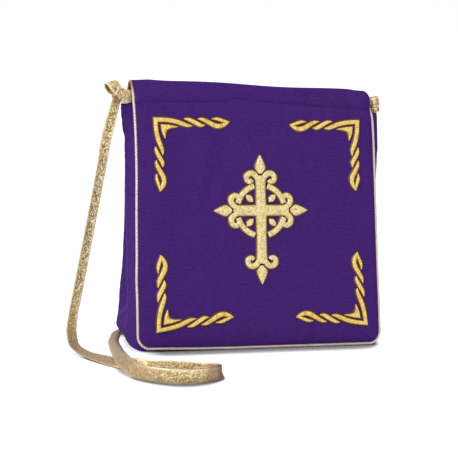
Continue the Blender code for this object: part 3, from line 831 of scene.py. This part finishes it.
def piping_material():
    """Pale champagne twisted cord with painted shade: darker in its grooves and on the side where it is sewn
    on, browner inside the mouths.
    """
    look = Shading("champagne_cord", {"Roughness": 0.45, "Metallic": 0.2})
    fibre = look.noise(look.place(), 0.0008, 2.0)
    light = look.ramp(fibre, ((0.3, (0.52, 0.37, 0.34)), (0.7, (0.80, 0.68, 0.66))))
    dark = look.ramp(fibre, ((0.3, (0.11, 0.045, 0.03)), (0.7, (0.24, 0.13, 0.10))))
    # Painted shade in the grooves, on the sewn side and inside the mouths
    cord = look.mix(look.stored("groove_shade"), light, dark)
    cord = look.mix(look.stored("root"), cord, (0.075, 0.028, 0.030))
    painted_mouth_shade = look.mix(1.0, cord, (0.36, 0.28, 0.16), "MULTIPLY")
    return look.finish(look.mix(look.stored("shaded"), cord, painted_mouth_shade), look.bump(fibre, 0.4, 0.0001))


def thread_material(name, pale, light, warm, specks):
    """Satin stitch: shining thread, with painted shade that warms and darkens it towards its edges, and a
    painted shadow on the strip where it dives into the cloth.
    """
    look = Shading(name, {"Roughness": 0.42, "Metallic": 0.25, "Specular IOR Level": 0.5})
    stitch = look.place("stitch")
    lengthwise = look.node("ShaderNodeMapping", {"Vector": stitch, "Scale": (1, 0.3, 1)}).outputs[0]
    fibre = look.noise(lengthwise, 0.0007, 2.0)
    fleck = look.flecks(look.cells(stitch, 0.0006))
    smooth_thread = look.ramp(fibre, ((0.30, warm), (0.50, light), (0.75, pale)))
    sparkling = look.ramp(fleck, ((0.10, warm), (0.45, light), (0.85, pale)))
    uneven = look.mix(specks, smooth_thread, sparkling)
    edge = look.stored("edge")
    # Painted shade: the thread warms and darkens towards its edges, and the strip beside it is the painted
    # shadow
    edge_shaded = look.mix(look.grey(edge, (0.15, 0), (0.60, 1)), uneven, warm)
    colour = look.mix(look.grey(edge, (0.67, 0), (0.72, 1)), edge_shaded, THREAD_SHADE)
    return look.finish(colour, look.bump(fibre, 0.35, 0.0001))


# Shapes


def add_mesh(name, bm, material):
    bmesh.ops.recalc_face_normals(bm, faces=bm.faces)
    mesh = bpy.data.meshes.new(name)
    bm.to_mesh(mesh)
    bm.free()
    mesh.shade_smooth()
    mesh.materials.append(material)
    obj = bpy.data.objects.new(name, mesh)
    bpy.context.scene.collection.objects.link(obj)
    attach(obj, "root")
    return obj


def unmarked(point, down_share):
    """Marks of a plain sheet: far from the sewn line, no painted highlight on a crease, no painted shade."""
    return 1.0, 0.0, 0.0


def add_points(bm, rows, layers):
    """Rows of points, each with the values that are stored on it, layer by layer."""
    made = []
    for row in rows:
        line = []
        for point, values in row:
            vert = bm.verts.new(point)
            for layer, value in zip(layers, values):
                vert[layer] = value
            line.append(vert)
        made.append(line)
    return made


def add_tube(bm, rings, layers):
    """A closed tube through rings of points, capped at both ends."""
    made = add_points(bm, rings, layers)
    for low, high in zip(made, made[1:]):
        for a, b, c, d in zip(low, low[1:] + low[:1], high[1:] + high[:1], high):
            bm.faces.new((a, b, c, d))
    bm.faces.new(list(reversed(made[0])))
    bm.faces.new(made[-1])


def add_sheet(name, rows, thickness, material, marks=unmarked):
    """A grid of points, thickened evenly to both sides. Stored on it are the weave's own place, the height
    over the sewn line, the painted highlight along a crease, and the painted shade where the cloth is turned
    from the light."""
    bm = bmesh.new()
    layers = [bm.verts.layers.float_vector.new("weave")]
    layers += [bm.verts.layers.float.new(layer) for layer in ("seam", "crease", "turned")]
    marked = []
    down = 0.0
    middle = len(rows[0]) // 2
    for index, row in enumerate(rows):
        if index:
            down += (row[middle] - rows[index - 1][middle]).length
        line = []
        across = 0.0
        for column, point in enumerate(row):
            if column:
                across += (point - row[column - 1]).length
            line.append((point, ((across, down, 0.0), *marks(point, index / (len(rows) - 1)))))
        marked.append(line)
    grid = add_points(bm, marked, layers)
    for low, high in zip(grid, grid[1:]):
        for a, b, c, d in zip(low, low[1:], high[1:], high):
            bm.faces.new((a, b, c, d))
    obj = add_mesh(name, bm, material)
    thicken = obj.modifiers.new("thickness", "SOLIDIFY")
    thicken.thickness = thickness
    thicken.offset = 0.0
    thicken.use_even_offset = True
    return obj


def direction_at(points, index):
    """Along a line at one of its points: from the point before to the point after."""
    return points[min(index + 1, len(points) - 1)] - points[max(index - 1, 0)]


# Cloth


def front_at(z):
    belly = FRONT_BELLY * math.sin(math.pi * min(max(z / STITCH_LINE, 0.0), 1.0))
    return FRONT_FOOT + FRONT_LEAN * z - belly


def back_at(z):
    return blend(BACK_FOOT, BACK_AT_STITCH, z / STITCH_LINE)


def stitched(x):
    """1 where the back is sewn to the front under the casing, 0 at the open mouths."""
    return smooth((BACK_HALF - MOUTH_SPREAD - abs(x)) / PINCH_ENDS)


def folds_at(x, z):
    """How far the folds of the front cloth stand out at a place."""
    total = 0.0
    for cx, cz, half_length, half_width, height, lean in FOLDS:
        turn = math.radians(lean)
        along = (x - cx) * math.sin(turn) + (z - cz) * math.cos(turn)
        across = (x - cx) * math.cos(turn) - (z - cz) * math.sin(turn)
        total += height * bump(along, half_length) * bump(across, half_width)
    return total


def relief_at(x, z):
    """How far the front cloth stands out: folds, slow unevenness, the sewn line and the edges pulled in."""
    from_seam = z - seam_height(x)
    sewn = -SEWN_DEPTH * (0.75 + 0.5 * wander(x, 0, 0.020, 6.2)) * bump(from_seam, SEWN_REACH)
    pucker = PUCKER_HEIGHT * wander(x, 0, 0.0042, 3.1) * bump(from_seam, PUCKER_REACH)
    slow = SLOW_HEIGHT * wander(x, z, 0.045, 7.7) + FINE_HEIGHT * wander(x, z, 0.012, 1.9)
    left = x - flap_left(z)
    right = flap_right(z) - x
    below = z - hem_height(x)
    turned = -LEFT_TURN * smooth(1 - left / LEFT_TURN_REACH)
    turned += RIGHT_RIDGE * bump(right - RIGHT_RIDGE_AT, RIGHT_RIDGE_REACH)
    curl = -HEM_CURL * smooth(1 - below / HEM_CURL_REACH) * (1 - 0.6 * smooth(x / 0.06))
    to_edge = min(left, right, below)
    ditch = -DITCH * bump(to_edge, DITCH_REACH)
    return folds_at(x, z) + sewn + pucker + slow * smooth(to_edge / EDGE_REACH) + turned + curl + ditch


def corner_share(z, hem, radius):
    """How far a rounded corner draws the edge in at a height."""
    drop = max(hem + radius - z, 0.0)
    return radius - math.sqrt(max(radius**2 - drop**2, 0.0))


def flap_left(z):
    return from_table(FLAP_EDGES, z, 1)


def flap_right(z):
    return from_table(FLAP_EDGES, z, 2)


def hem_at(share):
    """The hem's height at a share of the flap's width: highest at the left corner."""
    return HEM_LOW + HEM_RISE * max(1 - share / HEM_REACH, 0.0) ** 2


def hem_height(x):
    return hem_at((x - flap_left(0)) / (flap_right(0) - flap_left(0)))


def seam_height(x):
    return from_table(SEAM, x, 1)


def top_height(x):
    droop = CORNER_DROOP * max((x - DROOP_FROM) / (DROOP_TO - DROOP_FROM), 0.0) ** 2
    droop += SHOULDER_DROOP * smooth((x - SHOULDER_AT) / SHOULDER_REACH)
    droop += LEFT_DROOP * smooth((LEFT_END - x) / LEFT_REACH)
    swell = TOP_SWELL * math.sin(SWELL_RATE * (x - SWELL_START)) * smooth((x - SWELL_FROM) / SWELL_REACH)
    return TOP_FOLD - TOP_FALL * x + TOP_WAVE * math.sin(WAVE_RATE * x) + swell - droop


def casing_point(x, depth_share, height_share):
    """A point of the casing. Its left mouth opens outward at the back, its right one at the top."""
    foot = seam_height(x)
    front = front_at(foot)
    depth = BACK_AT_STITCH - front
    z = blend(foot, top_height(x), height_share)
    y = front + depth * depth_share
    facing = smooth((FRONT_ENDS - depth_share) / FRONT_FADES)
    flare = MOUTH_FLARE * smooth(depth_share) * smooth((LEFT_END - x) / LEFT_REACH)
    spread = RIGHT_FLARE * smooth(height_share) * smooth((x - RIGHT_END) / RIGHT_REACH)
    return Vector((x - flare + spread, y - facing * relief_at(x, z), z))


def back_point(x, z):
    """A point of the back, which is drawn forward at the sewn line between the two mouths."""
    foot = seam_height(x)
    drawn = back_at(z) - front_at(foot) - CLOTH - 2 * GAP
    near = bump(foot - z, PINCH_REACH)
    uneven = SLOW_HEIGHT * wander(x, z, 0.04, 4.4)
    return Vector((x, back_at(z) - stitched(x) * near * drawn + uneven, z))


def upper_x(share):
    return blend(flap_left(FLAP_TOP), flap_right(FLAP_TOP), share)


def flap_point(share, down):
    """A point of the flap at a share of its width and of the way down."""
    start = seam_height(upper_x(share))
    hem = hem_at(share)
    z = blend(start, hem, down)
    drawn_in = corner_share(z, hem, HEM_RADIUS)
    x = blend(flap_left(z) + drawn_in, flap_right(z) - drawn_in, share)
    return Vector((x, front_at(z) - relief_at(x, z), z))


def row_shares(count, radius_share, corner_rows):
    """Shares of the way down a sheet, closer together round its lower corners."""
    straight = [(1 - radius_share) * row / count for row in range(count)]
    turns = [math.radians(90) * row / corner_rows for row in range(corner_rows + 1)]
    return straight + [1 - radius_share * (1 - math.sin(turn)) for turn in turns]


def lower_back_point(share, down):
    """A point of the back below the casing, at a share of its width and of the way down."""
    foot = CLOTH / 2 + GAP
    z = blend(seam_height(upper_x(share)), foot, down)
    drawn_in = corner_share(z, foot, BACK_RADIUS)
    narrowing = smooth((z - NARROWS_FROM) / (NARROWS_TO - NARROWS_FROM))
    left = blend(-BACK_HALF, upper_x(0) - MOUTH_FLARE, narrowing) + drawn_in
    right = blend(BACK_HALF, upper_x(1), narrowing) - drawn_in
    return back_point(blend(left, right, share), z)


def cloth_rows():
    """Rows of the one cloth, from the back's bottom edge over the top to the flap's hem."""
    columns = shares(COLUMNS)
    downs = row_shares(BACK_ROWS, BACK_RADIUS / STITCH_LINE, 10)
    rows = [[lower_back_point(share, down) for share in columns] for down in reversed(downs)]
    places = catmull([Vector((depth, height, 0)) for depth, height in CASING], CASING_STEPS)
    turning = []
    for x in map(upper_x, columns):
        turning.append(back_point(x, seam_height(x)).lerp(casing_point(x, *places[-1][:2]), 0.5))
    rows.append(turning)
    for depth_share, height_share, _ in reversed(places):
        rows.append([casing_point(upper_x(share), depth_share, height_share) for share in columns])
    downs = row_shares(FLAP_ROWS, HEM_RADIUS / STITCH_LINE, 8)[1:]
    return rows + [[flap_point(share, down) for share in columns] for down in downs]


def add_cloth(material):
    def marks(point, down_share):
        return point.z - seam_height(point.x), 0.0, 0.0

    cloth = add_sheet("burse_cloth", cloth_rows(), CLOTH, material, marks)
    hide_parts("back_casing_flap")


def panel_depth(z):
    return front_at(z) + CLOTH / 2 + FLAP_STANDS_OFF + PANEL / 2


def panel_point(share, down):
    foot = PANEL / 2 + GAP
    z = blend(POUCH_MOUTH, foot, down)
    half = POUCH_HALF - corner_share(z, foot, PANEL_RADIUS)
    x = blend(-half, half, share)
    return Vector((x, panel_depth(z) + PANEL_UNEVEN * wander(x, z, 0.03, 8.8), z))


def add_pouch_front(material):
    downs = row_shares(PANEL_ROWS, PANEL_RADIUS / POUCH_MOUTH, 6)
    rows = [[panel_point(share, down) for share in shares(PANEL_COLUMNS)] for down in downs]
    panel = add_sheet("pouch_panel", rows, PANEL, material)
    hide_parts("pouch_front")


def gusset_outline(depth_share):
    """The strip's middle layer at a share of its depth: down the left, along the bottom, up the right."""
    radius = blend(PANEL_RADIUS, BACK_RADIUS, smooth((depth_share - 0.2) / 0.6))
    foot = PANEL / 2
    half = POUCH_HALF - PANEL / 2
    reach = half - radius
    rows = 90
    outline = [Vector((-half, 0, blend(GUSSET_TOP, radius + foot, row / rows))) for row in range(rows)]
    for turn in range(0, 91, 5):
        angle = math.radians(turn)
        rise = radius * (1 - math.sin(angle))
        outline.append(Vector((-reach - radius * math.cos(angle), 0, foot + rise)))
    steps = 30
    outline += [Vector((-reach * (1 - step / steps), 0, foot)) for step in range(1, steps)]
    middle = [Vector((0, 0, foot))]
    mirrored = [Vector((-point.x, 0, point.z)) for point in reversed(outline)]
    return outline + middle + mirrored


def gusset_fold(x, z, depth_share):
    """How far the side is folded outward."""
    table = GUSSET_FOLD if x < 0 else RIGHT_FOLD
    out = from_table(table, z, 1)
    ridge = from_table(table, z, 2)
    rise = depth_share / ridge if depth_share < ridge else (1 - depth_share) / (1 - ridge)
    fullness = blend(LOW_FULLNESS, 1.0, smooth(z / FOLD_ROUNDS_TO))
    return out * max(rise, 0.0) ** fullness


def gusset_point(outline, depth_share):
    """A point of the strip's outline, moved out with the side's fold and back to its place in depth."""
    x, z = outline.x, outline.z
    near = panel_depth(z) + PANEL / 2 + RIM_CLEAR
    far = back_at(z) - CLOTH / 2 - RIM_CLEAR
    side = smooth((abs(x) - FOLD_FROM) / (FOLD_TO - FOLD_FROM))
    fold = gusset_fold(x, z, depth_share) + gusset_crease(z, depth_share)
    uneven = GUSSET_UNEVEN * wander(depth_share * 0.04, z, 0.018, 5.5 + x)
    out = math.copysign((fold + uneven * rise_in(depth_share)) * side, x)
    return Vector((x + out, blend(near, far, depth_share), z))


def add_gusset(material):
    rows = []
    for depth_share in shares(GUSSET_ROWS):
        rows.append([gusset_point(outline, depth_share) for outline in gusset_outline(depth_share)])
    gusset = add_sheet("gusset_cloth", rows, PANEL, material, gusset_marks)
    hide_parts("gusset_strip")


def gusset_lines(z, depth_share):
    """How near a point is to the pressed crease up the side and to the slanted one, and how far behind the
    first one it is. All are shares from 0 to 1."""
    ridge = from_table(GUSSET_FOLD, z, 2)
    depth = back_at(z) - panel_depth(z)
    crease = CREASE_FROM_FRONT / (0.30 * depth + from_table(GUSSET_FOLD, z, 1) / ridge)
    past = depth_share - crease
    upright = bump(past * depth, CREASE_REACH) * smooth((z - CREASE_FOOT) / 0.01)
    upright *= smooth((CREASE_TOP - z) / 0.02)
    slant = SLANT_TOP - SLANT_FALL * past / max(ridge - crease, 0.05)
    across = smooth(past / 0.06) * smooth((ridge - depth_share) / 0.08)
    behind = smooth(past / 0.05) * smooth((z - slant) / 0.002) * smooth((CREASE_TOP - z) / 0.04)
    return upright, bump(z - slant, SLANT_REACH) * across, behind


def gusset_crease(z, depth_share):
    upright, slanted, behind = gusset_lines(z, depth_share)
    return CREASE_HEIGHT * upright + SLANT_HEIGHT * slanted - BEHIND_DEPTH * behind * rise_in(depth_share)


def gusset_marks(point, depth_share):
    """Marks of the gusset: painted highlight on its creases and painted shade behind the upright one, both
    weaker on the right.
    """
    upright, slanted, behind = gusset_lines(point.z, depth_share)
    left = 1.0 if point.x < 0 else 0.5
    return 1.0, left * max(0.6 * upright, slanted), left * behind


def rise_in(share):
    """0 at both edges of a strip and 1 between them."""
    return smooth(share / 0.15) * smooth((1 - share) / 0.15)


# Piping


def piping_route():
    """Along the cloth's edge: round the left mouth, down the flap, along the hem, and up to the right mouth,
    where it is tucked behind the cloth's edge along the front."""
    clear = PIPING / 2 + PIPING_GAP
    sides = []
    for share in (0, 1):
        hem = hem_at(share)
        sign = 2 * share - 1
        outward = Vector((sign * clear, 0, 0))
        mouth = [casing_point(upper_x(share), *place) for place in reversed(CASING)]
        if share:
            middle = sum(mouth, Vector()) / len(mouth)
            tucked = [point.lerp(middle, TUCK / (point - middle).length) for point in mouth]
            side = [point - outward * 0.4 for point in tucked[-RIGHT_PIPED:-1]]
        else:
            side = [point + outward for point in mouth]
        start = blend(0.01, 0.03, share)
        side += [flap_point(share, blend(start, 0.90, step / 10)) + outward for step in range(11)]
        edge = flap_left(hem) if sign < 0 else flap_right(hem)
        for turn in range(0, 91, 15):
            angle = math.radians(turn)
            x = edge + sign * ((HEM_RADIUS + clear) * math.cos(angle) - HEM_RADIUS)
            z = hem + HEM_RADIUS - (HEM_RADIUS + clear) * math.sin(angle)
            cloth_x = x - outward.x * math.cos(angle)
            side.append(Vector((x, front_at(z) - relief_at(cloth_x, z + clear * math.sin(angle)), z)))
        sides.append(side)
    left, right = sides
    below = Vector((0, FRONT_LEAN * clear, clear))
    hem_points = [flap_point(step / 10, 1.0) - below for step in range(2, 9)]
    return left + hem_points + list(reversed(right))


def evenly(points, spacing):
    """The same line with its points evenly spaced."""
    total = sum((b - a).length for a, b in zip(points, points[1:]))
    count = max(2, round(total / spacing))
    step = total / count
    line = [points[0].copy()]
    left = step
    for a, b in zip(points, points[1:]):
        length = (b - a).length
        used = 0.0
        while length - used >= left - 1e-9 and len(line) < count:
            used += left
            line.append(a.lerp(b, used / length))
            left = step
        left -= length - used
    line.append(points[-1].copy())
    return line


def frames_along(points):
    """Two directions square to a line at each of its points, which turn as little as they can."""
    made = []
    side = None
    for index in range(len(points)):
        along = direction_at(points, index).normalized()
        if side is None:
            side = along.orthogonal().normalized()
        side = (side - along * side.dot(along)).normalized()
        made.append((side, along.cross(side)))
    return made


def add_piping(material):
    """A cord of twisted strands. Stored on it is its painted shade: in its grooves, on its sewn side, and
    inside the mouths.
    """
    sides = 18
    points = evenly(catmull(piping_route(), 12), PIPING_PITCH / 15)
    bm = bmesh.new()
    layers = [bm.verts.layers.float.new(layer) for layer in ("groove_shade", "root", "shaded")]
    rings = []
    travelled = 0.0
    for index, (point, (side, other)) in enumerate(zip(points, frames_along(points))):
        if index:
            travelled += (point - points[index - 1]).length
        # Painted shade inside the mouths, behind the front cloth and high up
        inside = smooth((point.y - front_at(point.z) - INSIDE_FROM) / INSIDE_REACH)
        inside *= smooth((point.z - INSIDE_ABOVE) / INSIDE_RISE)
        inward = min(max(point.x, -SIDES_FROM), SIDES_FROM) - point.x
        cloth = Vector((inward, 0, max(point.z, HEM_TO) - point.z)).normalized()
        ring = []
        for corner in range(sides):
            angle = 2 * math.pi * corner / sides
            lobe = abs(math.cos(PIPING_STRANDS / 2 * (angle - 2 * math.pi * travelled / PIPING_PITCH)))
            radius = PIPING / 2 * (0.80 + 0.22 * lobe**0.7)
            outward = side * math.cos(angle) + other * math.sin(angle)
            # Painted shade in the grooves between strands, and on the side toward the cloth
            groove_shade = smooth(1 - lobe / 0.60)
            root = 0.8 * smooth((outward.dot(cloth) + blend(-0.30, 0.15, smooth(cloth.x))) / 0.5)
            ring.append((point + outward * radius, (groove_shade, root, inside)))
        rings.append(ring)
    add_tube(bm, rings, layers)
    piping = add_mesh("twisted_piping", bm, material)
    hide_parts("flap_piping")


# Strap and knots


def band_ring(centre, along, across, width, thick, hollow):
    """The round-edged section of a flat strap, hollowed across its width: points and places across it."""
    sides = 24
    along = along.normalized()
    across = (across - along * across.dot(along)).normalized()
    through = along.cross(across)
    ring = []
    for corner in range(sides):
        angle = 2 * math.pi * corner / sides
        a = math.copysign(abs(math.cos(angle)) ** 0.6, math.cos(angle))
        b = math.copysign(abs(math.sin(angle)) ** 0.8, math.sin(angle))
        lifted = b * thick / 2 + hollow * (a * a - 0.4)
        ring.append((centre + across * a * width / 2 + through * lifted, a))
    return ring


def add_band(bm, rows, thick, travelled):
    """A strap through rows of centre, direction across, width, hollow and painted light and shade. Stored on
    it are that painted light and shade, its weave's own place, lengthwise from where it has travelled, and
    its paler edges, partly their own weave and partly a painted sheen."""
    stores = bm.verts.layers
    tone = stores.float.get("tone") or stores.float.new("tone")
    strap = stores.float_vector.get("strap") or stores.float_vector.new("strap")
    rim_sheen = stores.float.get("rim_sheen") or stores.float.new("rim_sheen")
    centres = [row[0] for row in rows]
    rings = []
    for index, (centre, across, width, hollow, painted_light) in enumerate(rows):
        if index:
            travelled += (centre - centres[index - 1]).length
        ring = []
        section = band_ring(centre, direction_at(centres, index), across, width, thick, hollow)
        for corner, (point, a) in enumerate(section):
            face = 0.0 if corner < len(section) / 2 else OTHER_FACE
            place = (travelled, a * width / 2, face)
            ring.append((point, (painted_light, place, smooth((abs(a) - RIM_FROM) / RIM_REACH))))
        rings.append(ring)
    add_tube(bm, rings, (tone, strap, rim_sheen))


def add_strap_fall(material):
    """The free strap, from the left knot to the right one, resting where it all but touches the surface."""
    steps = 14
    centres = catmull([Vector(place) for place, across in STRAP_ROUTE], steps)
    acrosses = catmull([Vector(across) for place, across in STRAP_ROUTE], steps)
    rows = []
    for index, (centre, across) in enumerate(zip(centres, acrosses)):
        row = index / steps
        # The tone read here is the painted light and shade on the strap
        share, hollow, tone = (from_table(STRAP_SHAPE, row, column) for column in (1, 2, 3))
        width = STRAP_WIDTH * share * (1 + WIDTH_UNEVEN * wander(row, 0, 1.7, 2.2))
        hollow += HOLLOW_UNEVEN * wander(row, 0, 0.9, 9.1)
        section = band_ring(centre, direction_at(centres, index), across, width, STRAP_BODY, hollow)
        lowest = min(point.z for point, a in section)
        sinking = (lowest - RESTS_AT) * smooth((RESTS_UNDER - lowest) / RESTS_FADES)
        rows.append((centre - Vector((0, 0, sinking)), across, width, hollow, tone))
    bm = bmesh.new()
    add_band(bm, rows, STRAP_BODY, 0.0)
    strap = add_mesh("lame_strap", bm, material)
    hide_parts("strap_fall")


def add_strap_in_casing(material):
    across = Vector(CASING_ACROSS)
    rows = []
    for row in catmull([Vector(row) for row in CASING_STRAP], 6):
        rows.append((row.xyz, across, row.w, CASING_HOLLOW, CASING_PAINTED_LIGHT))
    bm = bmesh.new()
    add_band(bm, rows, STRAP_FLAT, 1.0)
    strap = add_mesh("strap_through_casing", bm, material)
    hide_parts("strap_in_casing")


def add_wrap(bm, centre, axis, width, depth, height, offset, lit_and_shaded):
    """A band wound once round an axis, its end laid over its start, its painted light and shade changing
    from one side of the turn to the other.
    """
    axis = Vector(axis).normalized()
    front = Vector((0, -1, 0))
    front = (front - axis * front.dot(axis)).normalized()
    upward = axis.cross(front)
    rows = []
    for share in shares(WRAP_STEPS):
        angle = math.radians(blend(-110, 290, share))
        turn = front * (depth * math.cos(angle)) + upward * (height * math.sin(angle))
        place = Vector(centre) + axis * (share - 0.5) * WRAP_SLANT + turn * blend(0.84, 1.0, smooth(share))
        narrowed = width * (1 - 0.3 * bump(share - 1, 0.1))
        # Painted light and shade, changing from one side of the turn to the other
        rows.append((place, axis, narrowed, WRAP_HOLLOW, blend(*lit_and_shaded, 0.5 - 0.5 * math.sin(angle))))
    add_band(bm, rows, STRAP_BODY, offset)


def add_left_knot(material):
    points = Vector(LOOP_POINTS).normalized()
    faces = Vector(LOOP_FACES).normalized()
    sideways = points.cross(faces).normalized()
    foot = Vector(LEFT_KNOT) - faces * LOOP_SHIFT
    centres = catmull([foot + points * reach + sideways * depth for reach, depth in LOOP_TURNS], 8)
    rows = []
    for centre, share in zip(centres, shares(len(centres) - 1)):
        width = LOOP_WIDTH * (0.70 + 0.30 * smooth(min(share, 1 - share) / 0.22))
        # Painted shade: the loop's second half is darker than its first
        rows.append((centre, faces, width, 0.0, 0.9 if share < 0.5 else 0.5))
    bm = bmesh.new()
    add_band(bm, rows, STRAP_THIN, 3.0)
    add_wrap(bm, LEFT_KNOT, *LEFT_WRAP)
    knot = add_mesh("left_knot", bm, material)
    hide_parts("strap_knot_left")


def add_right_knot(material):
    bm = bmesh.new()
    add_wrap(bm, RIGHT_KNOT, *RIGHT_WRAP)
    add_wrap(bm, RIGHT_LOBE, *LOBE_WRAP)
    knot = add_mesh("right_knot", bm, material)
    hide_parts("strap_knot_right")


# Embroidery


def on_flap(x, z, height):
    """A point at a height above the flap's outer face."""
    return Vector((x, front_at(z) - relief_at(x, z), z)) + OUTWARD * (CLOTH / 2 + height)


def ladder(rows):
    """Rungs across a line of points and widths: pairs of ends, in the flap's x and z."""
    spine = [point for point, width in rows]
    rungs = []
    for index, (point, width) in enumerate(rows):
        along = direction_at(spine, index).normalized()
        square = Vector((-along.y, along.x, 0)) * width / 2
        rungs.append((point + square, point - square))
    return rungs


def evenly_paired(lefts, rights, spacing):
    """Both rails of a ladder, cut again so that its rungs are evenly spaced along the middle."""
    lefts, rights = catmull(lefts, 10), catmull(rights, 10)
    middles = [(a + b) / 2 for a, b in zip(lefts, rights)]
    lengths = [0.0]
    for a, b in zip(middles, middles[1:]):
        lengths.append(lengths[-1] + (b - a).length)
    count = 3 * max(2, round(lengths[-1] / spacing / 3))
    made = []
    place = 0
    for step in range(count + 1):
        at = lengths[-1] * step / count
        while place < len(lengths) - 2 and lengths[place + 1] < at:
            place += 1
        span = lengths[place + 1] - lengths[place]
        share = (at - lengths[place]) / span if span else 0.0
        made.append([rail[place].lerp(rail[place + 1], share) for rail in (lefts, rights)])
    return made


class Satin:
    """Padded satin stitch on the flap, gathered into one mesh."""

    def __init__(self, padding):
        self.bm = bmesh.new()
        stores = self.bm.verts.layers
        self.layers = (stores.float.new("edge"), stores.float_vector.new("stitch"))
        self.padding = padding
        self.shapes = 0

    def corner(self, spot, height, edge, along, across):
        """A point over a spot of the flap, with the values that are stored on it."""
        return on_flap(spot.x, spot.y, height), (edge, (along, across, self.shapes * 0.1))

    def add(self, rungs):
        """Stitches laid side by side from rung end to rung end, over padding highest in the middle, with a
        strip of painted shadow beside them where the cloth is drawn in."""
        self.shapes += 1
        rungs = evenly_paired([rung[0] for rung in rungs], [rung[1] for rung in rungs], THREAD / 3)
        rings = []
        across = 8
        along = 0.0
        middle = (rungs[0][0] + rungs[0][1]) / 2
        for index, (a, b) in enumerate(rungs):
            along += ((a + b) / 2 - middle).length
            middle = (a + b) / 2
            width = (a - b).length
            side = (a - b).normalized() * OUTLINE
            rise = self.padding * min(1.0, width / FULL_FROM) ** 0.6
            ridge = RIDGE if index % 3 == 1 else -GROOVE
            # The two points at each end of a ring make the strip of painted shadow beside the stitch
            heights = (SATIN_FOOT, OUTLINE_HEIGHT)
            ring = [self.corner(a + side, height, 1.0, along, width / 2) for height in heights]
            for step in range(across + 1):
                t = 2 * step / across - 1
                spot = a.lerp(b, step / across)
                height = rise * math.sqrt(max(1 - t * t, 0.0)) ** 0.8 + ridge * (1 - t * t) + SATIN_BASE
                ring.append(self.corner(spot, height, 0.66 * abs(t) ** 5, along, -t * width / 2))
            ring += [self.corner(b - side, height, 1.0, along, -width / 2) for height in reversed(heights)]
            rings.append(ring)
        add_tube(self.bm, rings, self.layers)

    def finish(self, name, material):
        add_mesh(name, self.bm, material)


def arm_strands(length, lean):
    """The strands of one arm of a corner, as ladders in the arm's own directions: along it, and inward."""
    strands = []
    for table, start in STRAND_STARTS:
        rows = []
        for share, inward, width in table:
            along = (start + share) * length
            rows.append((Vector((along, inward + lean * along, 0)), width))
        strands.append(ladder(rows))
    # The first rung of the outer strand is the mitre that it shares with the other arm
    strands[0][0] = (Vector((MITRE, MITRE, 0)), Vector())
    return strands


def add_corners(material):
    """An ornament in each corner: four strands along the hem's arm, four along the side's, and the leaf."""
    for index, (x, z, hem_length, hem_lean, side_length, side_lean) in enumerate(CORNERS):
        satin = Satin(PADDING)
        inward_x = -math.copysign(1, x)
        inward_z = -1 if z > 0.08 else 1

        def place(along_hem, along_side):
            return Vector((x + inward_x * along_hem, z + inward_z * along_side, 0))

        for rungs in arm_strands(hem_length, hem_lean):
            satin.add([(place(a.x, a.y), place(b.x, b.y)) for a, b in rungs])
        for rungs in arm_strands(side_length, side_lean):
            satin.add([(place(a.y, a.x), place(b.y, b.x)) for a, b in rungs])
        satin.add([[place(u + side_lean * v, v + hem_lean * u) for u, v in pair] for pair in CORNER_LEAF])
        satin.finish(f"corner_embroidery_{index + 1}", material)


def cross_limb(reach):
    """One limb of the cross, as rows of place along, place aside and width: its bar, its pointed end leaf,
    and the scroll that curls out at each side of the end."""
    neck = reach - CROSS_END
    bar = (
        (0.0000, 0, CROSS_BAR),
        (neck * 0.5, 0, CROSS_BAR * 0.90),
        (neck * 0.9, 0, CROSS_BAR * 0.96),
        (neck + 0.0016, 0, CROSS_BAR * 1.16),
    )
    leaf = (
        (neck + 0.0028, 0, 0.0020),
        (neck + 0.0062, 0, 0.0070),
        (neck + 0.0100, 0, 0.0052),
        (reach, 0, 0.0002),
    )
    shapes = [bar, leaf]
    for side in (1, -1):
        scroll = []
        for share in shares(8):
            angle = math.radians(blend(-105, 240, share))
            radius = blend(SCROLL_RADIUS, SCROLL_END, share**0.9)
            along = neck - 0.0004 + radius * math.cos(angle)
            aside = side * (SCROLL_ASIDE + radius * math.sin(angle))
            scroll.append((along, aside, blend(*SCROLL_WIDTHS, share) * (1 - 0.7 * bump(share, 0.06))))
        shapes.append(scroll)
    return shapes


def add_cross(material):
    """A traditional ringed cross with scrolled ends and four leaves, worked in padded satin stitch."""
    satin = Satin(PADDING * 1.25)
    centre = Vector((CROSS_X, CROSS_Z, 0))
    up, right = Vector((0, 1, 0)), Vector((1, 0, 0))
    for reach, direction in ((CROSS_UP, up), (CROSS_DOWN, -up), (CROSS_SIDE, right), (CROSS_SIDE, -right)):
        square = Vector((-direction.y, direction.x, 0))
        for rows in cross_limb(reach):
            satin.add(ladder([(centre + direction * u + square * v, width) for u, v, width in rows]))
    spare = math.degrees(math.asin((CROSS_BAR / 2 + OUTLINE) / RING_RADIUS))
    for turn in (45, 135, 225, 315):
        ray = Vector((math.cos(math.radians(turn)), math.sin(math.radians(turn)), 0))
        satin.add(ladder([(centre + ray * at, width) for at, width in RING_LEAF]))
        arc = []
        for step in range(9):
            angle = math.radians(turn + (45 - spare) * (step / 4 - 1))
            arc.append((centre + Vector((math.cos(angle), math.sin(angle), 0)) * RING_RADIUS, RING_WIDTH))
        satin.add(ladder(arc))
    satin.finish("cross_embroidery", material)


def build():
    add_camera()
    lame = lame_material()
    add_left_knot(lame)
    add_right_knot(lame)
    add_strap_fall(lame)
    add_strap_in_casing(lame)
    twill = twill_material()
    add_cloth(twill)
    add_pouch_front(twill)
    add_gusset(twill)
    add_piping(piping_material())
    add_corners(thread_material(*CORNER_THREAD))
    add_cross(thread_material(*CROSS_THREAD))
    add_floor()
    add_studio()


build()
